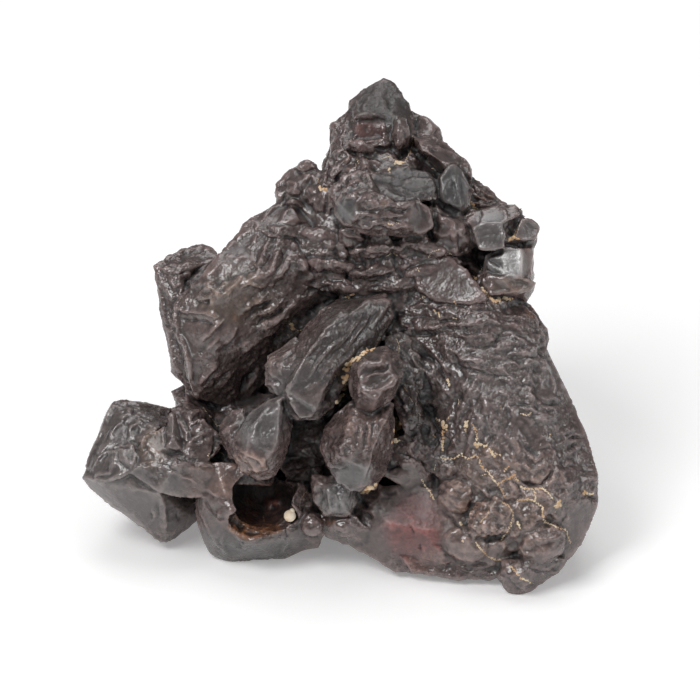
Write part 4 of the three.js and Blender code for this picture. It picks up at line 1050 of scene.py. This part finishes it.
# Folds and wear
#
# Sand has cut folds into the faces and left ridges between them. The hard, smooth faces have kept
# their shine, and hardly fold.


def points_of(mesh):
    flat = np.empty(len(mesh.vertices) * 3)
    mesh.vertices.foreach_get("co", flat)
    return flat.reshape(-1, 3)


def normals_of(mesh):
    flat = np.empty(len(mesh.vertices) * 3)
    mesh.vertex_normals.foreach_get("vector", flat)
    return flat.reshape(-1, 3)


def face_frame(points):
    """Millimetres to the right, up the face and out of it, for each point."""
    axes = np.array([FACE_RIGHT, FACE_UP, FACE_OUT])
    return (points - np.array(FACE_CENTRE)) @ axes.T / MM


def in_mm(place):
    """The place seen in the frame, as millimetres to the right of the middle and above it."""
    across, down = place
    return np.array([(across - FRAME_MIDDLE) * PIXEL_MM, (FRAME_MIDDLE - down) * PIXEL_MM])


def smooth_step(values, low, high):
    t = np.clip((values - low) / (high - low), 0, 1)
    return t * t * (3 - 2 * t)


def noise_at(places):
    return np.array([noise.noise(p) for p in places.tolist()])


def drift_at(places):
    return np.array([noise.noise_vector(p) for p in places.tolist()])


def turned(places, turn):
    c, s = math.cos(math.radians(turn)), math.sin(math.radians(turn))
    return places[:, 0] * c + places[:, 1] * s, places[:, 1] * c - places[:, 0] * s


ISLAND_EDGE = 0.4


def island_at(places):
    """0 in the creases between rounded islands, 1 on their tops."""
    gap = [near[1] - near[0] for near in (noise.voronoi(p)[0] for p in places.tolist())]
    return smooth_step(np.array(gap), 0.0, ISLAND_EDGE)


# A fold's layers: how fine each is, how far it drifts and where its noise starts.
SWELL = (0.6, 0.0, 3.1)
BILLOW = (1.3, 0.4, 14.3)
CREASE = (2.3, 0.35, 9.7)
DRIFT_FINENESS = 0.8
ISLAND_DRIFT = 0.5
FLUTE_FINENESS = 1.7
FLUTE_DRIFT = 0.3
FOLD_STRETCH = 1.5
FLUTE_STRETCH = 4

# What each layer gives to a fold's height, and the middle value of those that are never below 0.
SWELL_SHARE = 1.4
BILLOW_SHARE = 1.4
ISLAND_SHARE = 0.40
CREASE_SHARE = 0.6
FLUTE_SHARE = 0.7
ISLAND_MIDDLE = 0.7
CREASE_MIDDLE = 0.2


def fold_layer(spot, drift, fineness, wander, start):
    return noise_at((spot + drift * wander) * fineness + start)


def fold_height(places, turn, spacing, seed):
    """Swells, and islands on them with creases between, longer along turn, from about -1 to 1."""
    along, across = turned(places, turn)
    spot = np.stack([along / FOLD_STRETCH, across, places[:, 2]], axis=1) / spacing + seed
    drift = drift_at(spot * DRIFT_FINENESS)
    height = SWELL_SHARE * fold_layer(spot, drift, *SWELL)
    height = height + BILLOW_SHARE * fold_layer(spot, drift, *BILLOW)
    height = height + ISLAND_SHARE * (island_at(spot + drift * ISLAND_DRIFT) - ISLAND_MIDDLE)
    height = height + CREASE_SHARE * (np.abs(fold_layer(spot, drift, *CREASE)) - CREASE_MIDDLE)
    long_way = np.stack([along / FLUTE_STRETCH, across, places[:, 2] / FLUTE_STRETCH], axis=1)
    return height + FLUTE_SHARE * noise_at(long_way * FLUTE_FINENESS + drift * FLUTE_DRIFT + seed)


NUB_SIZE = 0.62
NUB_SHARE = 1.4
PIT_SIZE = 0.34
PIT_SHARE = 0.35
SKIN_MIDDLE = 0.35


def rough_skin(places, seed):
    """Small nubs and pits about half a millimetre across."""
    nubs = np.abs(noise_at(places / NUB_SIZE + seed)) * NUB_SHARE
    return nubs + noise_at(places / PIT_SIZE + seed) * PIT_SHARE - SKIN_MIDDLE


def in_oval(places, middle, half_size, turn=0, soft=0.25):
    along, across = turned(places[:, :2] - in_mm(middle), turn)
    reach = np.hypot(along / (half_size[0] * PIXEL_MM), across / (half_size[1] * PIXEL_MM))
    return 1 - smooth_step(reach, 1 - soft, 1 + soft)


COLUMN_MM = 0.45
BEHIND_ALL = -1e9
TURNED_AWAY, TURNED_TO = -0.05, 0.2
HIDING_STARTS, HIDDEN = 1.2, 2.4


def seen_from_front(places, facing):
    """1 on what the viewer sees, falling to 0 on what is hidden or turned away."""
    column = np.round(places[:, 0] / COLUMN_MM).astype(int)
    row = np.round(places[:, 1] / COLUMN_MM).astype(int)
    column -= column.min()
    row -= row.min()
    nearest = np.full((column.max() + 1, row.max() + 1), BEHIND_ALL)
    np.maximum.at(nearest, (column, row), places[:, 2])
    depth = nearest[column, row] - places[:, 2]
    hidden = smooth_step(depth, HIDING_STARTS, HIDDEN)
    return smooth_step(facing, TURNED_AWAY, TURNED_TO) * (1 - hidden)


def as_seen(mesh):
    """The mesh's points and normals, the points' places on the face, and how far each is seen."""
    points = points_of(mesh)
    normals = normals_of(mesh)
    places = face_frame(points)
    return points, normals, places, seen_from_front(places, normals @ np.array(FACE_OUT))


def most_of(ovals, places, front):
    most = np.zeros(len(places))
    for middle, half_size, turn, amount in ovals:
        most = np.maximum(most, amount * in_oval(places, middle, half_size, turn))
    return most * front


DOWNHILL = np.array([0.35, -0.94])
FAR_OFF = 1e9
NO_DISTANCE = 1e-6


def nearest_on_line(spot, corners):
    """How far each spot is from the line, how much downhill of it, how far along it, and how long
    the line is."""
    distance = np.full(len(spot), FAR_OFF)
    below = np.zeros(len(spot))
    run = np.zeros(len(spot))
    steps = corners[1:] - corners[:-1]
    lengths = np.linalg.norm(steps, axis=1)
    starts = np.concatenate([[0], np.cumsum(lengths)[:-1]])
    for start, step, length, begun in zip(corners[:-1], steps, lengths, starts):
        t = np.clip((spot - start) @ step / length ** 2, 0, 1)
        away = spot - start - t[:, None] * step
        span = np.linalg.norm(away, axis=1)
        nearer = span < distance
        distance[nearer] = span[nearer]
        below[nearer] = (away @ DOWNHILL)[nearer] / np.maximum(span[nearer], NO_DISTANCE)
        run[nearer] = (begun + t * length)[nearer]
    return distance, below, run, lengths.sum()


BARELY = 0.01
WIDE_WAVER = (1.6, 31.0, 0.22)  # its size, where its noise starts, and how far it goes
FINE_WAVER = (0.6, 37.0, 0.08)
UNEVEN_SIZE = 1.3
UNEVEN_START = 43.0
UNEVENNESS = 0.6
STROKE_REACH = 3.2
END_SHARE = 0.35
LONGEST_END = 1.6
END_HEIGHT = 0.25
LOWEST, HIGHEST = -1.5, 1.1

# A ridge is wider uphill than downhill. Its crest falls off fast, and the skirt round it slowly.
RIDGE_WIDTH = 1.25
RIDGE_LEAN = 0.5
CREST_SHARE = 0.75
CREST_FALL = 1.6
SKIRT_FALL = 1.3
GROOVE_FALL = 1.5


def waver_at(places, size, start, amount):
    return drift_at(places / size + start)[:, :2] * amount


def stroke_lift(places, front):
    """Ridges that fall gently uphill and steeply downhill, and sharp grooves, fading at their ends."""
    lift = np.zeros(len(places))
    waver = waver_at(places, *WIDE_WAVER) + waver_at(places, *FINE_WAVER)
    uneven = noise_at(places / UNEVEN_SIZE + UNEVEN_START)
    for height, width, line in strokes:
        corners = np.array([in_mm(place) for place in line])
        margin = width * STROKE_REACH
        near = np.all(places[:, :2] > corners.min(axis=0) - margin, axis=1)
        near &= np.all(places[:, :2] < corners.max(axis=0) + margin, axis=1)
        chosen = np.nonzero(near & (front > BARELY))[0]
        spot = places[chosen, :2] + waver[chosen]
        distance, below, run, whole = nearest_on_line(spot, corners)
        ends = np.minimum(run, whole - run) / min(whole * END_SHARE, LONGEST_END)
        faded = height * (END_HEIGHT + (1 - END_HEIGHT) * smooth_step(ends, 0, 1))
        faded = faded * (1 + UNEVENNESS * uneven[chosen])
        if height > 0:
            reach = distance / width / (RIDGE_WIDTH - RIDGE_LEAN * below)
            crest = CREST_SHARE * np.exp(-reach ** 2 * CREST_FALL)
            lift[chosen] += faded * (crest + (1 - CREST_SHARE) * np.exp(-reach * SKIRT_FALL))
        else:
            lift[chosen] += faded * np.exp(-distance / width * GROOVE_FALL)
    return np.clip(lift, LOWEST, HIGHEST) * front


cluster_mesh = core.data
points, normals, places, front = as_seen(cluster_mesh)
calm = most_of(calm_ovals, places, front)

NOISE_STEP = 3.7
lift = np.zeros(len(places))
overlap = np.zeros(len(places))
for number, (middle, half_size, turn, spacing, height) in enumerate(fold_fields):
    share = in_oval(places, middle, half_size) * front
    chosen = np.nonzero(share > BARELY)[0]
    field = fold_height(places[chosen], turn, spacing, NOISE_STEP * number)
    lift[chosen] += share[chosen] * field * height
    overlap[chosen] += share[chosen]

# Where fields overlap their folds are averaged. Where there are none, lower folds run two ways.
REST_SPACING = 2.4
REST_HEIGHT = 0.20
REST_SHARE = 0.6
SIDEWAYS_TURN, SIDEWAYS_SEED = 15, 61.3
AROUND_TURN, AROUND_SEED, AROUND_CLOSER = 10, 71.9, 0.9
lift /= np.maximum(overlap, 1)
open_share = 1 - np.minimum(overlap, 1)
chosen = np.nonzero(open_share > 2 * BARELY)[0]
rest = places[chosen]
sideways = fold_height(rest, SIDEWAYS_TURN, REST_SPACING, SIDEWAYS_SEED)
around_stone = rest[:, [2, 1, 0]]
around = fold_height(around_stone, AROUND_TURN, REST_SPACING * AROUND_CLOSER, AROUND_SEED)
lift[chosen] += open_share[chosen] * REST_HEIGHT * (REST_SHARE * sideways + REST_SHARE * around)

# The skin is rough everywhere, and rougher in patches.
PATCH_SIZE = 3.4
PATCH_SEED = 17.0
PATCH_LOW, PATCH_HIGH = -0.15, 0.35
EVEN_SKIN = 0.035
PATCHY_SKIN = 0.13
SKIN_SEED = 23.0
CALM_LOSS = 0.9
patchy = smooth_step(noise_at(places / PATCH_SIZE + PATCH_SEED), PATCH_LOW, PATCH_HIGH)
lift += (EVEN_SKIN + PATCHY_SKIN * patchy) * rough_skin(places, SKIN_SEED)
lift = lift * (1 - CALM_LOSS * calm) + stroke_lift(places, front)
moved = points + normals * (lift * MM)[:, None]
moved[:, 2] = np.maximum(moved[:, 2], 0)
cluster_mesh.vertices.foreach_set("co", moved.ravel())
cluster_mesh.update()

# The seen side keeps fine folds, and the rest needs fewer faces.
FRONT_FACES = 150000
BACK_FACES = 42000
SEEN = 0.3
bpy.ops.object.mode_set(mode="EDIT")
bpy.ops.mesh.select_all(action="SELECT")
bpy.ops.mesh.quads_convert_to_tris()
bpy.ops.object.mode_set(mode="OBJECT")


def seen_faces(front):
    corners = np.empty(len(cluster_mesh.polygons) * 3, dtype=int)
    cluster_mesh.polygons.foreach_get("vertices", corners)
    return front[corners.reshape(-1, 3)].mean(axis=1) > SEEN


def thin_out(faces, keep):
    """Leaves about so many of these faces."""
    bpy.ops.object.mode_set(mode="EDIT")
    bpy.ops.mesh.select_all(action="DESELECT")
    bpy.ops.object.mode_set(mode="OBJECT")
    cluster_mesh.polygons.foreach_set("select", faces)
    bpy.ops.object.mode_set(mode="EDIT")
    bpy.ops.mesh.select_mode(type="FACE")
    bpy.ops.mesh.decimate(ratio=min(1.0, keep / max(1, faces.sum())))
    bpy.ops.object.mode_set(mode="OBJECT")


thin_out(~seen_faces(front), BACK_FACES)
*_, front = as_seen(cluster_mesh)
in_front = seen_faces(front)
behind = len(in_front) - in_front.sum()
thin_out(in_front, FRONT_FACES + BACK_FACES - behind)
bpy.ops.object.shade_smooth()
core.name = "crystal_cluster"

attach(core, "root")
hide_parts("stone")


# The colour of the iron oxide
#
# The stone is dark brown to charcoal, blue-grey on its smoothest faces and red, brown or rusty in
# places. Its edges are painted lighter as a painted highlight, and its creases are painted nearly
# black as painted shade.

IRON = (0.082, 0.058, 0.054)
FINE_PASSES = 3
WIDE_PASSES = 40
STAIN_SOFTNESS = 0.35
BACK_LIGHTNESS = 0.78

points, normals, places, front = as_seen(cluster_mesh)
ends = np.empty(len(cluster_mesh.edges) * 2, dtype=int)
cluster_mesh.edges.foreach_get("vertices", ends)
ends = ends.reshape(-1, 2)
count = np.bincount(ends.ravel(), minlength=len(points))


def evened_out(values, passes):
    """The points, moved to the middle of their neighbours so many times."""
    for _ in range(passes):
        total = np.zeros_like(values)
        np.add.at(total, ends[:, 0], values[ends[:, 1]])
        np.add.at(total, ends[:, 1], values[ends[:, 0]])
        values = total / np.maximum(count, 1)[:, None]
    return values


def depth_below(evened):
    """Millimetres that each point lies below the evened face. It is below 0 on an edge."""
    return ((evened - points) * normals).sum(axis=1) / MM


# Where each kind of hollow or edge starts and is full, in millimetres, and how much it counts.
FINE_HOLLOW = (0.005, 0.12, 0.7)
WIDE_HOLLOW = (0.05, 1.0, 0.8)
FINE_EDGE = (0.005, 0.10, 0.8)
WIDE_EDGE = (0.1, 0.9, 0.4)


def counted(depth, starts, full, weight):
    return smooth_step(depth, starts, full) * weight


evened_a_little = evened_out(points, FINE_PASSES)
fine_depth = depth_below(evened_a_little)
wide_depth = depth_below(evened_out(evened_a_little, WIDE_PASSES - FINE_PASSES))
# In the colour, the hollows are painted shade and the edges a painted highlight.
hollow = counted(fine_depth, *FINE_HOLLOW) + counted(wide_depth, *WIDE_HOLLOW)
edge = counted(-fine_depth, *FINE_EDGE) + counted(-wide_depth, *WIDE_EDGE)

oxide = np.tile(np.array(IRON), (len(points), 1))
# Most stains are the oxide's own colours. Three are painted light: the lighter grey on the eight-faced
# crystal and the pale grey on the lowest cube are painted light and a painted highlight, and the dark brown
# in the slab's deep groove is painted shade.
for colour, middle, half_size, turn, amount in stain_and_painted_light_ovals:
    share = (in_oval(places, middle, half_size, turn, STAIN_SOFTNESS) * front * amount)[:, None]
    oxide = oxide * (1 - share) + np.array(colour) * share
oxide *= (BACK_LIGHTNESS + (1 - BACK_LIGHTNESS) * front)[:, None]


def keep_on(mesh, name, values):
    if values.ndim == 1:
        made = mesh.attributes.new(name, "FLOAT", "POINT")
        made.data.foreach_set("value", values.astype(np.float32))
    else:
        made = mesh.attributes.new(name, "FLOAT_COLOR", "POINT")
        with_alpha = np.concatenate([values, np.ones((len(values), 1))], axis=1)
        made.data.foreach_set("color", with_alpha.astype(np.float32).ravel())


keep_on(cluster_mesh, "hollow", np.clip(hollow, 0, 1))
keep_on(cluster_mesh, "edge", np.clip(edge, 0, 1))
keep_on(cluster_mesh, "calm", most_of(calm_ovals, places, front))
keep_on(cluster_mesh, "dull", most_of(dull_ovals, places, front))
keep_on(cluster_mesh, "oxide", oxide)


class Shade:
    """One output of a shader node. Sums on it add Math nodes."""

    def __init__(self, tree, socket=None):
        self.tree = tree
        self.socket = socket

    def node(self, kind, settings=(), inputs=(), out=0):
        made = self.tree.nodes.new(kind)
        for name, value in dict(settings).items():
            setattr(made, name, value)
        for name, value in dict(inputs).items():
            if isinstance(value, Shade):
                self.tree.links.new(value.socket, made.inputs[name])
            else:
                made.inputs[name].default_value = value
        return Shade(self.tree, made.outputs[out])

    def sum(self, operation, first, second):
        return self.node("ShaderNodeMath", {"operation": operation}, {0: first, 1: second})

    def __add__(self, other):
        return self.sum("ADD", self, other)

    __radd__ = __add__

    def __sub__(self, other):
        return self.sum("SUBTRACT", self, other)

    def __rsub__(self, other):
        return self.sum("SUBTRACT", other, self)

    def __mul__(self, other):
        return self.sum("MULTIPLY", self, other)

    __rmul__ = __mul__

    def held(self, low, high):
        return self.node("ShaderNodeClamp", (), {"Value": self, "Min": low, "Max": high})

    def spread(self, low, high, to_low=0.0, to_high=1.0):
        ends = {"Value": self, "From Min": low, "From Max": high, "To Min": to_low, "To Max": to_high}
        return self.node("ShaderNodeMapRange", {"interpolation_type": "SMOOTHSTEP"}, ends)

    def mix(self, first, second):
        """The first colour where this is 0, the second where it is 1."""
        return self.node("ShaderNodeMix", {"data_type": "RGBA"}, {0: self, 6: first, 7: second}, 2)

    def scaled(self, amount):
        """This colour, made lighter or darker."""
        inputs = {0: self, "Scale": amount}
        return self.node("ShaderNodeVectorMath", {"operation": "SCALE"}, inputs)

    def grain(self, scale, detail, rough):
        """Noise at this place."""
        inputs = {"Vector": self, "Scale": scale, "Detail": detail, "Roughness": rough}
        return self.node("ShaderNodeTexNoise", (), inputs)

    def bump(self, strength, distance):
        inputs = {"Strength": strength, "Distance": distance, "Height": self}
        return self.node("ShaderNodeBump", (), inputs)

    def attribute(self, name, out="Fac"):
        return self.node("ShaderNodeAttribute", {"attribute_name": name}, (), out)

    def into(self, socket):
        self.tree.links.new(self.socket, socket)


def new_finish(name):
    """A new material, the inputs of its shader, and a point's own place on the object."""
    finish = bpy.data.materials.new(name)
    finish.use_nodes = True
    tree = finish.node_tree
    where = Shade(tree).node("ShaderNodeTexCoord", (), (), "Object")
    return finish, tree.nodes["Principled BSDF"].inputs, where


# How fine each grain is, with its detail and its roughness.
MOTTLE = (260, 4, 0.6)
DIMPLE = (1250, 2.5, 0.5)
SPECKLE = (2600, 0.5, 0.5)

# What the grains, the wear, the painted shade in hollows and the painted highlight on edges do to
# the colour, to the shine and to the bump.
LEAST_LIGHTNESS, MOTTLE_LIGHTENS = 0.58, 0.74
HOLLOW_PAINTED_SHADE, EDGE_PAINTED_HIGHLIGHT = 0.87, 1.3
CALM_EVENS = 0.6
POLISHED = 0.25
HOLLOW_ROUGHENS, EDGE_POLISHES = 0.30, 0.05
MOTTLE_ROUGHENS, CALM_ROUGHENS, DULL_ROUGHENS = 0.18, 0.04, 0.25
IRON_IOR = 1.8
CALM_FLATTENS = 0.75
SPECKLE_SHARE = 0.08
PIT_DEPTH = 0.36 * MM

iron, shader, where = new_finish("iron_oxide_with_painted_light")
hollow_at = where.attribute("hollow")
edge_at = where.attribute("edge")
calm_at = where.attribute("calm")
dull_at = where.attribute("dull")
oxide_at = where.attribute("oxide", "Color")
mottle = where.grain(*MOTTLE)
dimple = where.grain(*DIMPLE)
speckle = where.grain(*SPECKLE)

pits = dimple.spread(0.30, 0.62, 0.62, 1.15)
pitted = pits * (1 - CALM_EVENS * calm_at) + CALM_EVENS * calm_at
mottled = LEAST_LIGHTNESS + MOTTLE_LIGHTENS * mottle
# Painted shade darkens the hollows, and a painted highlight lightens the edges.
lightness = mottled * (1 - HOLLOW_PAINTED_SHADE * hollow_at) * (1 + EDGE_PAINTED_HIGHLIGHT * edge_at) * pitted
oxide_at.scaled(lightness.held(0.03, 3.0)).into(shader["Base Color"])
worn = POLISHED + HOLLOW_ROUGHENS * hollow_at - EDGE_POLISHES * edge_at
roughness = worn + MOTTLE_ROUGHENS * (mottle - 0.5) + CALM_ROUGHENS * calm_at + DULL_ROUGHENS * dull_at
roughness.held(0.16, 0.8).into(shader["Roughness"])
shader["IOR"].default_value = IRON_IOR
worn_patch = mottle.spread(0.42, 0.62, 0.25, 1.0)
skin = dimple * worn_patch * (1 - CALM_FLATTENS * calm_at) + SPECKLE_SHARE * speckle
skin.bump(1.0, PIT_DEPTH).into(shader["Normal"])
cluster_mesh.materials.clear()
cluster_mesh.materials.append(iron)


# Chalk in the cracks
#
# The stone grew in chalk, and pale crumbs of it are still stuck in the cracks and hollows.

CRUMB_STEP = 0.13
CRUMB_SIZES = (0.45, 0.95)
CRUMB_SHAPE = ((0.8, 1.5), (0.7, 1.0), (0.35, 0.55))
SCATTER = 0.35
SUNK_SHARE = 0.10
LEAST_FACING = 0.08
LUMPINESS = 0.35
LUMP_FINENESS = 1.7
LUMPS_DIFFER = 9000
IN_FRONT = 200 * MM
FULL_TURN = 6.3
random.seed(4)
bpy.ops.object.select_all(action="DESELECT")
bpy.ops.mesh.primitive_ico_sphere_add(subdivisions=2, radius=1)
crumb = bpy.context.object
crumb_points = points_of(crumb.data)
crumb_faces = np.array([list(face.vertices) for face in crumb.data.polygons])
bpy.data.objects.remove(crumb)


def on_stone(right_mm, up_mm):
    before = FACE_CENTRE + (FACE_RIGHT * right_mm + FACE_UP * up_mm) * MM + FACE_OUT * IN_FRONT
    hit, place, normal, _ = core.ray_cast(before, -FACE_OUT)
    return (place, normal) if hit else (None, None)


def crumb_at(place, normal, radius):
    apart = place * LUMPS_DIFFER
    lumps = [noise.noise(Vector(p) * LUMP_FINENESS + apart) for p in crumb_points]
    shape = 1 + LUMPINESS * np.array(lumps)
    flat = Vector([random.uniform(low, high) for low, high in CRUMB_SHAPE])
    spin = Euler((0, 0, random.uniform(0, FULL_TURN))).to_matrix()
    turn = normal.to_track_quat("Z", "Y").to_matrix() @ spin
    local = crumb_points * shape[:, None] * np.array(flat) * radius
    return local @ np.array(turn).T + np.array(place)


crumbs = []
for width, line in chalk_lines:
    corners = [in_mm(place) for place in line]
    for start_corner, end_corner in zip(corners[:-1], corners[1:]):
        length = float(np.linalg.norm(end_corner - start_corner))
        steps = max(1, round(length / CRUMB_STEP))
        for step in range(steps):
            spot = start_corner + (end_corner - start_corner) * (step + random.random()) / steps
            radius = width * random.uniform(*CRUMB_SIZES)
            spot = spot + np.array([random.gauss(0, 1), random.gauss(0, 1)]) * width * SCATTER
            place, normal = on_stone(*spot)
            if place is None or normal.dot(FACE_OUT) < LEAST_FACING:
                continue
            crumbs.append(crumb_at(place - normal * radius * MM * SUNK_SHARE, normal, radius * MM))

chalk_mesh = bpy.data.meshes.new("chalk")
offsets = np.arange(len(crumbs)) * len(crumb_points)
faces = (crumb_faces[None, :, :] + offsets[:, None, None]).reshape(-1, 3)
chalk_mesh.from_pydata(np.concatenate(crumbs).tolist(), [], faces.tolist())
chalk_piece = bpy.data.objects.new("chalk_in_cracks", chalk_mesh)
bpy.context.scene.collection.objects.link(chalk_piece)
chalk_mesh.polygons.foreach_set("use_smooth", np.ones(len(chalk_mesh.polygons), dtype=bool))
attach(chalk_piece, "root")

PALE_TAN = (0.62, 0.38, 0.20, 1)
CREAM = (0.85, 0.70, 0.50, 1)
DIRT = (0.34, 0.22, 0.13, 1)
pale, shader, where = new_finish("pale_chalk")
patches = where.grain(420, 3, 0.6)
dust = where.grain(2400, 3, 0.7)
clean = patches.spread(0.38, 0.62).mix(PALE_TAN, CREAM)
(dust.spread(0.52, 0.72) * 0.5).mix(clean, DIRT).into(shader["Base Color"])
shader["Roughness"].default_value = 0.85
dust.bump(0.5, 0.08 * MM).into(shader["Normal"])
chalk_mesh.materials.append(pale)


# The grain lodged in the pocket
#
# A tiny pale shell is wedged in the mouth of the pocket: a round body with a small whorl on it.

GRAIN_RADIUS = 0.9 * MM
WHORL_RADIUS = 0.42 * MM
WHORL_RIGHT_MM, WHORL_UP_MM, WHORL_OUT_MM = 0.35, 0.72, 0.1
GRAIN_VOXEL = 0.045 * MM
GRAIN_ROUNDING_PASSES = 3
low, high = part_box("lodged_grain")
grain_centre = (Vector(low) + Vector(high)) / 2
whorl_centre = grain_centre + FACE_RIGHT * WHORL_RIGHT_MM * MM + FACE_UP * WHORL_UP_MM * MM
whorl_centre += FACE_OUT * WHORL_OUT_MM * MM
bpy.ops.object.select_all(action="DESELECT")
bpy.ops.mesh.primitive_uv_sphere_add(segments=48, ring_count=32, radius=GRAIN_RADIUS, location=grain_centre)
grain = bpy.context.object
grain.name = "lodged_grain_shell"
bpy.ops.mesh.primitive_uv_sphere_add(segments=32, ring_count=24, radius=WHORL_RADIUS, location=whorl_centre)
grain.select_set(True)
bpy.context.view_layer.objects.active = grain
bpy.ops.object.join()
bpy.ops.object.transform_apply(location=True, rotation=True, scale=True)
add_and_apply("REMESH", mode="VOXEL", voxel_size=GRAIN_VOXEL)
add_and_apply("SMOOTH", factor=ROUNDING, iterations=GRAIN_ROUNDING_PASSES)
bpy.ops.object.shade_smooth()
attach(grain, "root")
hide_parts("lodged_grain")

SHELL_TAN = (0.80, 0.60, 0.40, 1)
SHELL_CREAM = (0.92, 0.80, 0.64, 1)
shell, shader, where = new_finish("cream_shell")
where.grain(900, 2, 0.5).spread(0.35, 0.65).mix(SHELL_TAN, SHELL_CREAM).into(shader["Base Color"])
shader["Roughness"].default_value = 0.5
grain.data.materials.clear()
grain.data.materials.append(shell)


# The floor and the light
#
# The stone stands on a lit white card. A large soft light hangs over it, a smaller one is in front
# of it on the left, and a third is on the right.

FLOOR_SIZE = 6
CARD_GLOW = 0.215
ROOM_LIGHT = 0.19
WHITE = (1, 1, 1, 1)
bpy.ops.object.select_all(action="DESELECT")
bpy.ops.mesh.primitive_plane_add(size=FLOOR_SIZE)
floor = bpy.context.object
floor.name = "floor"
card, shader, where = new_finish("white_card")
shader["Base Color"].default_value = (0.9, 0.9, 0.9, 1)
shader["Roughness"].default_value = 0.8
shader["Emission Color"].default_value = WHITE
shader["Emission Strength"].default_value = CARD_GLOW
floor.data.materials.append(card)


def soft_light(name, place, width, watts):
    lamp = bpy.data.lights.new(name, "AREA")
    lamp.shape = "SQUARE"
    lamp.size = width
    lamp.energy = watts
    box = bpy.data.objects.new(name, lamp)
    bpy.context.scene.collection.objects.link(box)
    box.location = place
    box.rotation_euler = (FACE_CENTRE - Vector(place)).to_track_quat("-Z", "Y").to_euler()


soft_light("over_light", (0.0, 0.30, 0.80), 0.6, 2.9)
soft_light("front_light", (-0.36, -0.30, 0.64), 0.36, 3.2)
soft_light("right_light", (0.62, -0.25, 0.36), 0.32, 1.1)

room = bpy.data.worlds.new("bright_room")
bpy.context.scene.world = room
room.use_nodes = True
room.node_tree.nodes["Background"].inputs["Color"].default_value = WHITE
room.node_tree.nodes["Background"].inputs["Strength"].default_value = ROOM_LIGHT
bpy.context.scene.view_settings.view_transform = "Standard"
